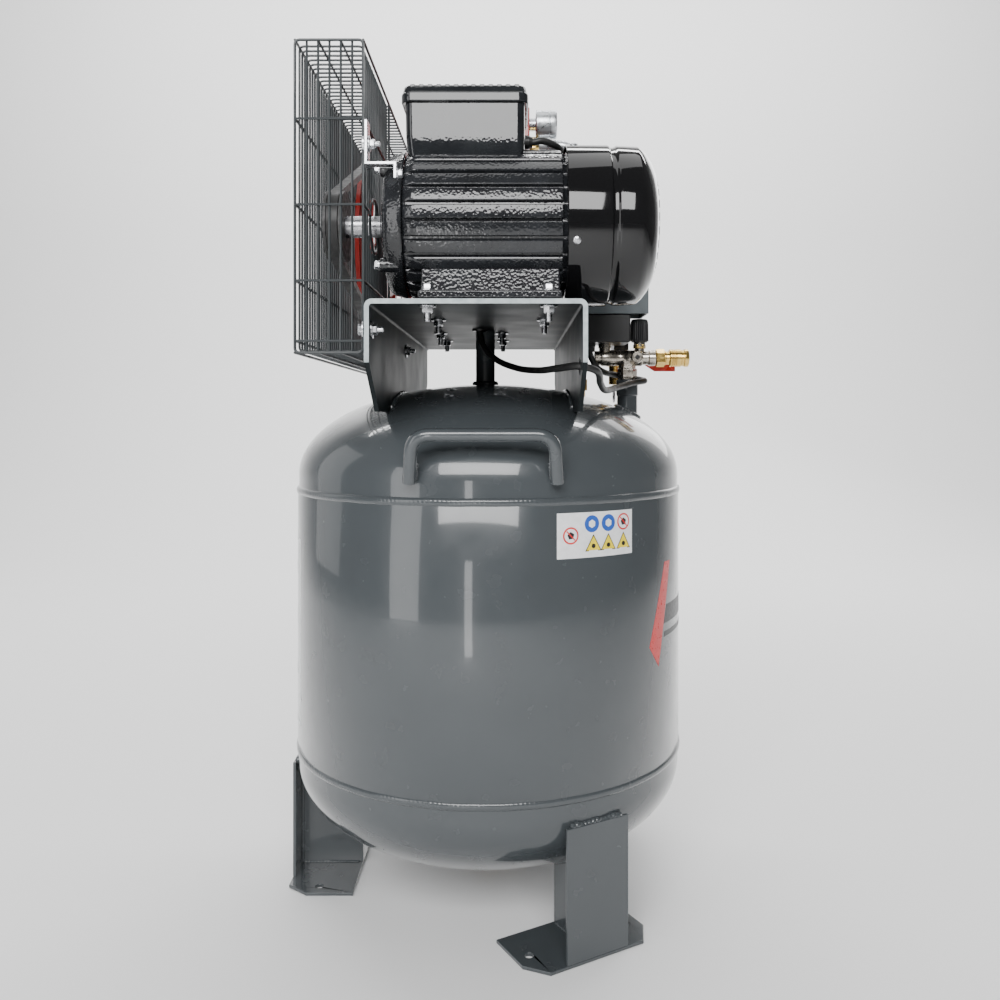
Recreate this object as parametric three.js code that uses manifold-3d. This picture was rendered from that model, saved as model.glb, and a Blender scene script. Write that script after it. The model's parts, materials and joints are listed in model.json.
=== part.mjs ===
// Vertical tank air compressor: a 100 litre receiver on three welded legs, with a belt-driven
// two-cylinder pump and its electric motor on a bent steel platform above it.
// Millimetres. The receiver's axis is the Z axis while the pieces are laid out; at the end the
// whole assembly moves so that its origin is the middle of its footprint, on the floor.
import * as THREE from "three";
import { mergeVertices } from "three/addons/utils/BufferGeometryUtils.js";
import Module from "manifold-3d";

const wasm = await Module();
wasm.setup();

// ---------------------------------------------------------------- driving dimensions
const GAP = 0.3; // between pieces that rest on or are welded to each other
const RUN = 0.5; // between a turning piece and the still one around it

// receiver
const TANK_RADIUS = 250;
const TANK_WALL = 3;
const HEAD_STEP = 1.3; // the heads are this much smaller in radius than the shell
const HEAD_DEPTH = 117.25;
const HEAD_POWER = 2.065; // the heads are superellipses
const LOWER_TANGENT = 162;
const UPPER_TANGENT = 526;
const BEAD_WIDTH = 11;
const BEAD_HEIGHT = 1.5;
const BEAD_INSET = 18.5; // from a tangent line to the middle of its weld bead
const APEX_BORE = 8;

// legs
const LEG_ANGLES = { leg_left: 180, leg_front: -60, leg_rear: 60 };
const LEG_PLATE = 4;
const LEG_STANDOFF = 3.5; // outer face of the legs beyond the shell
const LEG_WIDTH = 82;
const LEG_TOP = 152;
const WEB_PLATE = 5;
const WEB_OFFSET = -2.5;
const WEB_LENGTH = 80.5;
const FOOT_LENGTH = 85;
const FOOT_WIDTH = 165;
const FOOT_PLATE = 4;
const FOOT_CUT_RADIAL = 26;
const FOOT_CUT_TANGENT = 20;
const ANCHOR_RADIUS = 5;
const ANCHOR_INSET = 39.5;
const ANCHOR_TANGENT = 66;

// lifting handle on the front of the upper head
const HANDLE_ROD = 7.25;
const HANDLE_SPAN = 152;
const HANDLE_RISE = 55; // above the upper tangent line
const HANDLE_FOOT_RISE = 3;
const HANDLE_STANDOFF = 12; // middle of the bar beyond the shell
const HANDLE_FOOT_INSET = 8;
const HANDLE_BEND = 20;

// platform: a channel open downwards, its front and rear edges tapered back to the head
const PLATFORM_X = -5.5;
const PLATFORM_WIDTH = 227;
const PLATFORM_PLATE = 5;
const PLATFORM_RISE = 194; // above the upper tangent line
const PLATFORM_FRONT = -307;
const PLATFORM_REAR = 342;
const PLATFORM_BEND = 8;
const FLANGE_DEPTH = 114;
const FLANGE_EDGE_DEPTH = 64; // length of the upright edge at each end
const FLANGE_TAPER = 73; // length of the sloping edge along the platform
const BOLT_HOLE = 4.6;

// risers
const CENTRE_RISER_X = -5;
const CENTRE_RISER_RADIUS = 12.75;
const OUTLET_X = 185;
const OUTLET_RADIUS = 13.5;
const OUTLET_NECK = 43.737; // of the outlet riser above the head where it stands
const RISER_WALL = 2.8;

// motor (frame size 90 foot pattern)
const MOTOR_Y = -220;
const MOTOR_UNDER = 8; // between the round housing and the platform
const MOTOR_LEFT = -82;
const MOTOR_RIGHT = 88;
const MOTOR_RADIUS = 82;
const MOTOR_WALL = 9;
const RIB_COUNT = 28;
const RIB_GROOVE = 4;
const RIB_DEPTH = 5;
const SHIELD_FRONT = -111;
const SHIELD_REAR = 100;
const MOTOR_FOOT_SPACING = 140; // across the shaft
const MOTOR_FOOT_PITCH = 125; // along the shaft
const MOTOR_FOOT_LEFT = -56;
const MOTOR_FOOT_PLATE = 9;
const STATOR_HALF = 58;
const ROTOR_RADIUS = 41;
const AIR_GAP = 0.5;
const SHAFT_RADIUS = 12;
const BEARING_RADIUS = 26;
const BEARING_WIDTH = 15;
const COWL_STEP = 5.5; // the cowl is this much larger in radius than the housing
const COWL_RIGHT = 187;
const COWL_WALL = 2.2;
const COWL_SHOULDER = 166; // where the side turns in to the end
const FAN_INSET = 12;

// terminal box on top of the motor
const BOX_LEFT = -82;
const BOX_RIGHT = 44.5;
const BOX_DEPTH = 100;
const BOX_SINK = 20; // how far the box reaches down over the round housing
const BOX_HEIGHT = 59;
const BOX_WALL = 3;
const LID_HEIGHT = 19;
const LID_LIP = 4;
const LID_RIBS = 13;
const CAPACITOR_RADIUS = 18;

// belt drive
const BELT_PLANE = -161.5; // middle of the belt along the shafts
const BELT_WIDTH = 12;
const BELT_THICK = 8;
const MOTOR_PULLEY_RADIUS = 39;
const FLYWHEEL_RADIUS = 130;
const FLYWHEEL_WIDTH = 24;
const FLYWHEEL_RIM = 16;
const SPOKE_COUNT = 6;
const SPOKE_WIDTH = 26;
const HUB_RADIUS = 26;

// pump: crankshaft along X, two upright cylinders in line
const PUMP_Y = 90;
const PUMP_SHAFT_HEIGHT = 118; // crank axis above the platform
const PUMP_X = -25; // middle of the two cylinders
const CYLINDER_PITCH = 78;
const CRANKCASE_LENGTH = 150;
const CRANKCASE_WIDTH = 120;
const CRANKCASE_WALL = 8;
const CRANKCASE_RISE = 50; // above the crank axis
const PUMP_FOOT_WIDTH = 156;
const PUMP_FOOT_PLATE = 10;
const PUMP_BOLT_X = 42; // either side of the middle
const PUMP_BOLT_Y = 64;
const BLOCK_HEIGHT = 87;
const BLOCK_WIDTH = 92;
const BLOCK_LENGTH = 160;
const FIN_COUNT = 7;
const FIN_DEPTH = 9;
const BORE_RADIUS = 32.5;
const VALVE_PLATE = 7;
const HEAD_HEIGHT = 56; // with the valve plate
const CRANK_THROW = 20;
const CRANK_PIN = 10;
const JOURNAL = 14;
const ROD_LENGTH = 92;
const PISTON_HEIGHT = 34;
const FILTER_RADIUS = 20.5;
const FILTER_DROP = 11; // filter axis below the top of the head
const FILTER_RIGHT = 95;

// air line, switch and outlet
const LINE_RISE = 29; // axis of the line above the outlet riser
const LINE_RADIUS = 11;
const SWITCH_X = 155;
const SWITCH_BASE_WIDTH = 62;
const SWITCH_DEPTH = 60;
const SWITCH_RISE = 19; // above the line
const SWITCH_BASE_HEIGHT = 37;
const COVER_HEIGHT = 63;
const COVER_LEFT = 122;
const COVER_RIGHT = 209;
const REGULATOR_X = 201.5;
const REGULATOR_RADIUS = 12.5;
const REGULATOR_RISE = 21;
const REGULATOR_HEIGHT = 31;
const VALVE_RIGHT = 223;
const COUPLER_HEX = 235;
const COUPLER_RIGHT = 267;
const COUPLER_RADIUS = 12;
const COUPLER_BORE = 5.5; // the socket that a hose plug goes into
const SLEEVE_TRAVEL = 4.5;
const SLEEVE_LENGTH = 26;
const GAUGE_RADIUS = 20;

// wire guard around the belt
const GUARD_LEFT = -193;
const GUARD_RIGHT = -120;
const GUARD_BEFORE = 77; // guard in front of the motor shaft
const GUARD_BEHIND = 110; // guard behind the flywheel
const GUARD_BELOW = 43.5;
const GUARD_ABOVE = 20;
const GUARD_WIRE = 3;
const GUARD_CELL = 80; // about, between the wires of a flat panel
const INNER_PANEL_LENGTH = 199;

// bracket that ties the guard to the motor
const BRACKET_PLATE = 3;
const BRACKET_FORWARD = 71; // in front of the motor shaft
const BRACKET_WIDTH = 18;
const BRACKET_TOP_RISE = 94; // above the motor shaft
const BRACKET_STEP_RISE = 51;
const BRACKET_FOOT_RISE = 34;
const BRACKET_RIGHT = -87;

const LEAD_RADIUS = 4;
const LEAD_FLANGE_HOLE = 10;
const LEAD_PLATFORM_HOLE = 7;

// ---------------------------------------------------------------- derived positions
const SHELL_LOW = LOWER_TANGENT - HEAD_DEPTH;
const SHELL_HIGH = UPPER_TANGENT + HEAD_DEPTH;
const LEG_OUTER = TANK_RADIUS + LEG_STANDOFF;
const WEB_INNER = LEG_OUTER - LEG_PLATE - WEB_LENGTH;
const ANCHOR_RADIAL = LEG_OUTER - ANCHOR_INSET;
const HANDLE_TOP = UPPER_TANGENT + HANDLE_RISE;
const HANDLE_FOOT = UPPER_TANGENT + HANDLE_FOOT_RISE;
const HANDLE_REACH = TANK_RADIUS + HANDLE_STANDOFF;
const HANDLE_FOOT_REACH = TANK_RADIUS - HANDLE_FOOT_INSET;
const PLATFORM_TOP = UPPER_TANGENT + PLATFORM_RISE;
const FLANGE_BOTTOM = PLATFORM_TOP - FLANGE_DEPTH;
const FLANGE_EDGE = PLATFORM_TOP - FLANGE_EDGE_DEPTH;
const OUTLET_TOP = headHeight(OUTLET_X, 0) + OUTLET_NECK;
const MOTOR_Z = PLATFORM_TOP + MOTOR_RADIUS + MOTOR_UNDER;
const COWL_RADIUS = MOTOR_RADIUS + COWL_STEP;
const FAN_RADIUS = MOTOR_RADIUS - FAN_INSET;
const BOX_BOTTOM = MOTOR_Z + MOTOR_RADIUS - BOX_SINK;
const BOX_TOP = BOX_BOTTOM + BOX_HEIGHT;
const LID_TOP = BOX_TOP + LID_HEIGHT;
const PUMP_Z = PLATFORM_TOP + PUMP_SHAFT_HEIGHT;
const CRANKCASE_TOP = PUMP_Z + CRANKCASE_RISE;
const BLOCK_TOP = CRANKCASE_TOP + BLOCK_HEIGHT;
const HEAD_TOP = BLOCK_TOP + HEAD_HEIGHT;
const FILTER_Z = HEAD_TOP - FILTER_DROP;
const LINE_Z = OUTLET_TOP + LINE_RISE;
const SWITCH_BOTTOM = LINE_Z + SWITCH_RISE;
const SWITCH_SEAM = SWITCH_BOTTOM + SWITCH_BASE_HEIGHT;
const SWITCH_TOP = SWITCH_SEAM + COVER_HEIGHT;
const REGULATOR_BOTTOM = LINE_Z + REGULATOR_RISE;
const REGULATOR_TOP = REGULATOR_BOTTOM + REGULATOR_HEIGHT;
const GUARD_FRONT = MOTOR_Y - GUARD_BEFORE;
const GUARD_REAR = PUMP_Y + FLYWHEEL_RADIUS + GUARD_BEHIND;
const GUARD_BOTTOM = PUMP_Z - FLYWHEEL_RADIUS - GUARD_BELOW;
const GUARD_TOP = PUMP_Z + FLYWHEEL_RADIUS + GUARD_ABOVE;
const INNER_PANEL_REAR = GUARD_FRONT + INNER_PANEL_LENGTH;
const BRACKET_Y = MOTOR_Y - BRACKET_FORWARD;
const BRACKET_TOP = MOTOR_Z + BRACKET_TOP_RISE;
const BRACKET_STEP = MOTOR_Z + BRACKET_STEP_RISE;
const BRACKET_FOOT = MOTOR_Z + BRACKET_FOOT_RISE;
const MOTOR_FOOT_X = [MOTOR_FOOT_LEFT, MOTOR_FOOT_LEFT + MOTOR_FOOT_PITCH];
const MOTOR_BOLTS = MOTOR_FOOT_X.flatMap((x) => [
  [x, MOTOR_Y - MOTOR_FOOT_SPACING / 2],
  [x, MOTOR_Y + MOTOR_FOOT_SPACING / 2],
]);
const PUMP_BOLTS = [-1, 1].flatMap((i) => [
  [PUMP_X + i * PUMP_BOLT_X, PUMP_Y - PUMP_BOLT_Y],
  [PUMP_X + i * PUMP_BOLT_X, PUMP_Y + PUMP_BOLT_Y],
]);
const CYLINDERS = [PUMP_X - CYLINDER_PITCH / 2, PUMP_X + CYLINDER_PITCH / 2];
const CRANKCASE_LEFT = PUMP_X - CRANKCASE_LENGTH / 2;
const CRANKCASE_RIGHT = PUMP_X + CRANKCASE_LENGTH / 2;
const ROUND = 28; // facets on large round pieces
const SMALL_ROUND = 14; // facets on small round pieces

// ---------------------------------------------------------------- colours
function finish(color, roughness, metalness) {
  return new THREE.MeshStandardMaterial({ color, roughness, metalness });
}
const tankPaint = finish(0x5c6166, 0.3, 0.2);
const blackPaint = finish(0x15171a, 0.35, 0.2);
const cowlPaint = finish(0x0c0d0e, 0.2, 0.1);
const redPaint = finish(0xb5201c, 0.35, 0.2);
const wirePaint = finish(0x3a3f42, 0.5, 0.4);
const castIron = finish(0x4a4b4d, 0.7, 0.6);
const steel = finish(0xa8abb0, 0.35, 0.9);
const zinc = finish(0xc9ccd0, 0.3, 0.9);
const brass = finish(0xc9a24a, 0.3, 0.9);
const nickel = finish(0xb0a898, 0.35, 0.9);
const aluminium = finish(0xb4b8bc, 0.4, 0.8);
const copper = finish(0xb87333, 0.35, 0.9);
const blackRubber = finish(0x111111, 0.7, 0);
const blackPlastic = finish(0x1a1b1d, 0.45, 0);
const greyPlastic = finish(0x5a6165, 0.5, 0);
const redPlastic = finish(0xc02a22, 0.4, 0);
const glass = finish(0xd8e0da, 0.1, 0);

// ---------------------------------------------------------------- making solids
function triangles(positions, index) {
  const whole = [];
  for (let i = 0; i < index.length; i += 3) {
    const [a, b, c] = [index[i], index[i + 1], index[i + 2]];
    if (a !== b && b !== c && a !== c) whole.push(a, b, c);
  }
  const mesh = { numProp: 3, vertProperties: positions, triVerts: new Uint32Array(whole) };
  return new wasm.Manifold(new wasm.Mesh(mesh));
}

// A closed three.js geometry as a solid with its faces outwards.
function solid(geometry) {
  const bare = geometry.clone();
  bare.deleteAttribute("normal");
  bare.deleteAttribute("uv");
  const merged = mergeVertices(bare, 1e-3);
  const index = Array.from(merged.index.array);
  const made = triangles(merged.attributes.position.array, index);
  if (made.volume() > 0) return made;
  return triangles(merged.attributes.position.array, index.reverse());
}

function geometryOf(made) {
  const mesh = made.getMesh();
  const geometry = new THREE.BufferGeometry();
  geometry.setAttribute("position", new THREE.BufferAttribute(new Float32Array(mesh.vertProperties), 3));
  geometry.setIndex(new THREE.BufferAttribute(new Uint32Array(mesh.triVerts), 1));
  geometry.computeVertexNormals();
  return geometry;
}

const union = (first, ...others) => others.reduce((whole, one) => whole.add(one), first);
const cut = (first, ...others) => others.reduce((whole, one) => whole.subtract(one), first);

function block(x0, x1, y0, y1, z0, z1) {
  const geometry = new THREE.BoxGeometry(x1 - x0, y1 - y0, z1 - z0);
  return solid(geometry.translate((x0 + x1) / 2, (y0 + y1) / 2, (z0 + z1) / 2));
}

// Where a shape's own x, y and depth go: AXES.x puts its outline in the YZ plane, depth along X.
const AXES = {
  x: new THREE.Matrix4().set(0, 0, 1, 0, 1, 0, 0, 0, 0, 1, 0, 0, 0, 0, 0, 1),
  y: new THREE.Matrix4().set(1, 0, 0, 0, 0, 0, 1, 0, 0, 1, 0, 0, 0, 0, 0, 1),
  z: new THREE.Matrix4(),
};

// An outline of [u, v] points or a Shape, carried along an axis from one place to another.
function prism(axis, outline, from, to) {
  const shape = outline instanceof THREE.Shape ? outline : new THREE.Shape(outline.map(([u, v]) => new THREE.Vector2(u, v)));
  const settings = { depth: to - from, bevelEnabled: false, curveSegments: 6 };
  const geometry = new THREE.ExtrudeGeometry(shape, settings);
  return solid(geometry.translate(0, 0, from).applyMatrix4(AXES[axis]));
}

// A profile of [distance along the axis, radius] turned about an axis through the point centre.
function turned(axis, profile, centre = [0, 0, 0], facets = SMALL_ROUND) {
  const points = profile.map(([along, radius]) => new THREE.Vector2(radius, along));
  const geometry = new THREE.LatheGeometry(points, facets);
  if (axis === "x") geometry.rotateZ(-Math.PI / 2);
  if (axis === "z") geometry.rotateX(Math.PI / 2);
  return solid(geometry.translate(...centre));
}

function rod(axis, from, to, radius, centre, facets = SMALL_ROUND) {
  return turned(axis, [[from, 0], [from, radius], [to, radius], [to, 0]], centre, facets);
}

function ring(axis, from, to, inner, outer, centre, facets = SMALL_ROUND) {
  return turned(axis, [[from, inner], [from, outer], [to, outer], [to, inner], [from, inner]], centre, facets);
}

// A curve through corner points, each corner rounded.
function bentCurve(corners, bend) {
  const at = corners.map((corner) => new THREE.Vector3(...corner));
  const points = [at[0]];
  for (let i = 1; i < at.length - 1; i++) {
    const before = at[i - 1].clone().sub(at[i]).setLength(bend).add(at[i]);
    const after = at[i + 1].clone().sub(at[i]).setLength(bend).add(at[i]);
    const corner = new THREE.QuadraticBezierCurve3(before, at[i], after);
    points.push(...corner.getPoints(4));
  }
  points.push(at[at.length - 1]);
  return new THREE.CatmullRomCurve3(points, false, "centripetal");
}

function tube(curve, radius, steps, sides = 10) {
  const corners = Array.from({ length: sides }, (_, i) => (2 * Math.PI * i) / sides);
  const section = new THREE.Shape(corners.map((a) => new THREE.Vector2(radius * Math.cos(a), radius * Math.sin(a))));
  return solid(new THREE.ExtrudeGeometry(section, { steps, extrudePath: curve, bevelEnabled: false }));
}

function turnedAbout(made, degrees) {
  return solid(geometryOf(made).rotateZ(THREE.MathUtils.degToRad(degrees)));
}

const compressor = new THREE.Group();
function piece(name, made, material, parent = compressor) {
  const mesh = new THREE.Mesh(geometryOf(made), material);
  mesh.name = name;
  parent.add(mesh);
}

// ---------------------------------------------------------------- receiver
// Half the receiver's outline from the lower apex to the upper one, moved outwards by grow.
function tankOutline(grow, boreRadius, count) {
  const radius = TANK_RADIUS - HEAD_STEP + grow;
  const depth = HEAD_DEPTH + grow;
  const start = Math.asin((boreRadius / radius) ** (HEAD_POWER / 2));
  const head = Array.from({ length: count }, (_, i) => {
    const angle = Math.PI / 2 - (Math.PI / 2 - start) * (1 - i / (count - 1));
    return [depth * Math.cos(angle) ** (2 / HEAD_POWER), radius * Math.sin(angle) ** (2 / HEAD_POWER)];
  });
  const lower = head.map(([rise, r]) => [LOWER_TANGENT - rise, r]);
  const upper = head.map(([rise, r]) => [UPPER_TANGENT + rise, r]).reverse();
  return [lower, upper];
}

function weldBand(middle, side) {
  const shell = TANK_RADIUS;
  return [
    [middle - BEAD_WIDTH / 2, side < 0 ? shell - HEAD_STEP : shell],
    [middle - BEAD_WIDTH / 4, shell + BEAD_HEIGHT],
    [middle + BEAD_WIDTH / 4, shell + BEAD_HEIGHT],
    [middle + BEAD_WIDTH / 2, side < 0 ? shell : shell - HEAD_STEP],
  ];
}

const TANK_FACETS = 36;
const HEAD_POINTS = 7;
const [outerLower, outerUpper] = tankOutline(0, APEX_BORE, HEAD_POINTS);
const [innerLower, innerUpper] = tankOutline(-TANK_WALL, APEX_BORE, 5);
const outletBore = rod("z", UPPER_TANGENT, SHELL_HIGH, OUTLET_RADIUS - RISER_WALL, [OUTLET_X, 0, 0]);
const tankSection = [
  ...outerLower,
  ...weldBand(LOWER_TANGENT + BEAD_INSET, -1),
  ...weldBand(UPPER_TANGENT - BEAD_INSET, 1),
  ...outerUpper,
  ...innerLower.concat(innerUpper).reverse(),
  outerLower[0],
];
piece("tank_shell", cut(turned("z", tankSection, [0, 0, 0], TANK_FACETS), outletBore), tankPaint);

// The space that the receiver takes up, with the gap that welded pieces keep from it.
const [clearLower, clearUpper] = tankOutline(GAP, APEX_BORE, HEAD_POINTS);
const bandLow = LOWER_TANGENT + BEAD_INSET;
const bandHigh = UPPER_TANGENT - BEAD_INSET;
const shellClear = TANK_RADIUS + BEAD_HEIGHT + GAP;
const clearOutline = [
  [clearLower[0][0], 0],
  ...clearLower,
  [bandLow - BEAD_WIDTH / 2, TANK_RADIUS - HEAD_STEP + GAP],
  [bandLow - BEAD_WIDTH / 4 - GAP, shellClear],
  [bandHigh + BEAD_WIDTH / 4 + GAP, shellClear],
  [bandHigh + BEAD_WIDTH / 2, TANK_RADIUS - HEAD_STEP + GAP],
  ...clearUpper,
  [clearUpper.at(-1)[0], 0],
];
const tankSpace = turned("z", clearOutline, [0, 0, 0], TANK_FACETS);

// ---------------------------------------------------------------- legs
function footOutline() {
  const inner = LEG_OUTER - FOOT_LENGTH;
  const half = FOOT_WIDTH / 2;
  return [
    [inner, -half],
    [LEG_OUTER - FOOT_CUT_RADIAL, -half],
    [LEG_OUTER, -half + FOOT_CUT_TANGENT],
    [LEG_OUTER, half - FOOT_CUT_TANGENT],
    [LEG_OUTER - FOOT_CUT_RADIAL, half],
    [inner, half],
  ];
}

// One welded leg: foot plate, upright outer plate and the web that meets the lower head.
function leg() {
  const plate = LEG_OUTER - LEG_PLATE;
  const upright = block(plate, LEG_OUTER, -LEG_WIDTH / 2, LEG_WIDTH / 2, FOOT_PLATE / 2, LEG_TOP);
  const webSides = [WEB_OFFSET - WEB_PLATE / 2, WEB_OFFSET + WEB_PLATE / 2];
  const web = block(WEB_INNER, plate + 1, ...webSides, FOOT_PLATE / 2, LEG_TOP);
  const anchors = [-1, 1].map((side) =>
    rod("z", -1, FOOT_PLATE + 1, ANCHOR_RADIUS, [ANCHOR_RADIAL, side * ANCHOR_TANGENT, 0]),
  );
  const foot = cut(prism("z", footOutline(), 0, FOOT_PLATE), ...anchors);
  return union(foot, upright, web);
}

for (const [name, angle] of Object.entries(LEG_ANGLES)) {
  piece(name, cut(turnedAbout(leg(), angle), tankSpace), tankPaint);
}

// ---------------------------------------------------------------- handle
const handleCorners = [
  [-HANDLE_SPAN / 2 - 4, -HANDLE_FOOT_REACH, HANDLE_FOOT],
  [-HANDLE_SPAN / 2, -HANDLE_REACH, HANDLE_TOP],
  [HANDLE_SPAN / 2, -HANDLE_REACH, HANDLE_TOP],
  [HANDLE_SPAN / 2 + 4, -HANDLE_FOOT_REACH, HANDLE_FOOT],
];
piece("carry_handle", cut(tube(bentCurve(handleCorners, HANDLE_BEND), HANDLE_ROD, 36), tankSpace), tankPaint);

// ---------------------------------------------------------------- platform and risers
const PLATFORM_LEFT = PLATFORM_X - PLATFORM_WIDTH / 2;
const PLATFORM_RIGHT = PLATFORM_X + PLATFORM_WIDTH / 2;
const PLATFORM_UNDER = PLATFORM_TOP - PLATFORM_PLATE;

// A channel's section: outer edge out along one bend, inner edge back along the other.
function channelSection() {
  const shape = new THREE.Shape();
  const inner = PLATFORM_BEND - PLATFORM_PLATE;
  const left = PLATFORM_LEFT;
  const right = PLATFORM_RIGHT;
  const plate = PLATFORM_PLATE;
  shape.moveTo(left, FLANGE_BOTTOM);
  shape.lineTo(left, PLATFORM_TOP - PLATFORM_BEND);
  shape.absarc(left + PLATFORM_BEND, PLATFORM_TOP - PLATFORM_BEND, PLATFORM_BEND, Math.PI, Math.PI / 2, true);
  shape.absarc(right - PLATFORM_BEND, PLATFORM_TOP - PLATFORM_BEND, PLATFORM_BEND, Math.PI / 2, 0, true);
  shape.lineTo(right, FLANGE_BOTTOM);
  shape.lineTo(right - plate, FLANGE_BOTTOM);
  shape.absarc(right - PLATFORM_BEND, PLATFORM_TOP - PLATFORM_BEND, inner, 0, Math.PI / 2, false);
  shape.absarc(left + PLATFORM_BEND, PLATFORM_TOP - PLATFORM_BEND, inner, Math.PI / 2, Math.PI, false);
  shape.lineTo(left + plate, FLANGE_BOTTOM);
  return shape;
}

const flangeSide = [
  [PLATFORM_FRONT, PLATFORM_TOP + 1],
  [PLATFORM_FRONT, FLANGE_EDGE],
  [PLATFORM_FRONT + FLANGE_TAPER, FLANGE_BOTTOM],
  [PLATFORM_REAR - FLANGE_TAPER, FLANGE_BOTTOM],
  [PLATFORM_REAR, FLANGE_EDGE],
  [PLATFORM_REAR, PLATFORM_TOP + 1],
];
const sideView = prism("x", flangeSide, PLATFORM_LEFT - 1, PLATFORM_RIGHT + 1);
// The motor's lead, from the terminal box down behind the motor, through the platform and its
// right flange, once round the outlet riser and up into the switch.
const leadPoints = [
  [BOX_RIGHT + 1, -222, 903],
  [BOX_RIGHT + 10, -222, 903],
  [64, -221, 905],
  [80, -214, 901],
  [90, -188, 897],
  [90, -152, 880],
  [80, -122, 842],
  [60, -108, 795],
  [30, -86, 758],
  [-2, -45, 742],
  [-12, -28, 728],
  [-12, -27, 710],
  [-6, -36, 692],
  [10, -56, 674],
  [36, -92, 661],
  [62, -150, 655],
  [82, -218, 654],
  [104, -258, 654],
  [120, -255, 650],
  [130, -205, 638],
  [142, -140, 632],
  [166, -62, 638],
  [190, -26, 645],
  [207, -8, 648],
  [204, 15, 651],
  [185, 22, 655],
  [166, 13, 658],
  [154, -3, 660],
  [142, -17, 667],
  [134, -20, 682],
  [133, -20, SWITCH_BOTTOM - GAP],
];
const platformPassage = rod("z", PLATFORM_UNDER - 1, PLATFORM_TOP + 1, LEAD_PLATFORM_HOLE, [-12, -28, 0], 12);
const flangeAt = [0, -260, 654];
const flangePassage = rod("x", PLATFORM_RIGHT - PLATFORM_PLATE - 1, PLATFORM_RIGHT + 1, LEAD_FLANGE_HOLE, flangeAt, 14);

const boltHoles = [...MOTOR_BOLTS, ...PUMP_BOLTS].map(([x, y]) =>
  rod("z", PLATFORM_UNDER - 1, PLATFORM_TOP + 1, BOLT_HOLE, [x, y, 0], 12),
);
const channel = prism("y", channelSection(), PLATFORM_FRONT, PLATFORM_REAR).intersect(sideView);
piece("platform", cut(channel, tankSpace, platformPassage, flangePassage, ...boltHoles), tankPaint);

function riser(x, radius, top) {
  const space = ring("z", UPPER_TANGENT, top, radius - RISER_WALL, radius, [x, 0, 0]);
  return cut(space, tankSpace);
}
piece("centre_riser", riser(CENTRE_RISER_X, CENTRE_RISER_RADIUS, PLATFORM_UNDER - GAP), tankPaint);
piece("outlet_riser", riser(OUTLET_X, OUTLET_RADIUS, OUTLET_TOP), tankPaint);

// ---------------------------------------------------------------- drain valve
const DRAIN_TOP = SHELL_LOW - GAP;
const DRAIN_BODY = DRAIN_TOP - 22;
const drainBody = union(
  rod("z", DRAIN_BODY, DRAIN_TOP, 9, [0, 0, 0], 6),
  rod("x", 0, 26, 5.5, [0, 0, DRAIN_BODY + 8], 12),
);
const drainPassage = rod("x", 12, 27, 2.5, [0, 0, DRAIN_BODY + 8], 8);
piece("drain_valve_body", cut(drainBody, drainPassage), brass);
const drainTap = union(
  rod("z", DRAIN_BODY - 8, DRAIN_BODY - GAP, 4, [0, 0, 0], 12),
  block(-13, 13, -2.5, 2.5, DRAIN_BODY - 13, DRAIN_BODY - 7),
);
piece("drain_valve_tap", drainTap, brass);
compressor.updateMatrixWorld(true);

// ---------------------------------------------------------------- motor
const motor = new THREE.Group();
compressor.add(motor);
const motorAxis = [0, MOTOR_Y, MOTOR_Z];
const motorBore = MOTOR_RADIUS - MOTOR_WALL - RIB_DEPTH;

// Round body with flat-topped ribs: a circle with a groove between each two ribs.
function ribbedOutline() {
  const points = [];
  const halfGroove = RIB_GROOVE / 2 / MOTOR_RADIUS;
  for (let i = 0; i < RIB_COUNT; i++) {
    const middle = ((i + 0.5) * 2 * Math.PI) / RIB_COUNT;
    const next = ((i + 1.5) * 2 * Math.PI) / RIB_COUNT;
    const bottom = MOTOR_RADIUS - RIB_DEPTH;
    const corners = [
      [middle - halfGroove * 0.6, bottom],
      [middle + halfGroove * 0.6, bottom],
      [middle + halfGroove, MOTOR_RADIUS],
      [next - halfGroove, MOTOR_RADIUS],
    ];
    for (const [angle, r] of corners) points.push([MOTOR_Y + r * Math.cos(angle), MOTOR_Z + r * Math.sin(angle)]);
  }
  return points;
}

function motorFeet() {
  const left = MOTOR_FOOT_LEFT - 9;
  const right = MOTOR_FOOT_LEFT + MOTOR_FOOT_PITCH + 13;
  const base = PLATFORM_TOP + GAP;
  const half = MOTOR_FOOT_SPACING / 2;
  const plates = block(left, right, MOTOR_Y - half - 16, MOTOR_Y + half + 16, base, base + MOTOR_FOOT_PLATE);
  const outline = [
    [MOTOR_Y - half + 10, base + 1],
    [MOTOR_Y + half - 10, base + 1],
    [MOTOR_Y + MOTOR_RADIUS * 0.72, MOTOR_Z - MOTOR_RADIUS * 0.6],
    [MOTOR_Y - MOTOR_RADIUS * 0.72, MOTOR_Z - MOTOR_RADIUS * 0.6],
  ];
  const holes = MOTOR_BOLTS.map(([x, y]) => rod("z", base - 1, base + MOTOR_FOOT_PLATE + 1, BOLT_HOLE, [x, y, 0], 12));
  const slot = block(left - 1, right + 1, MOTOR_Y - 38, MOTOR_Y + 38, base - 1, base + 6);
  return cut(union(plates, prism("x", outline, left, right)), slot, ...holes);
}

const housing = union(prism("x", ribbedOutline(), MOTOR_LEFT, MOTOR_RIGHT), motorFeet());
const housingBore = rod("x", MOTOR_LEFT - 1, MOTOR_RIGHT + 1, motorBore, motorAxis, ROUND);
piece("motor_housing", cut(housing, housingBore), blackPaint, motor);

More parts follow.
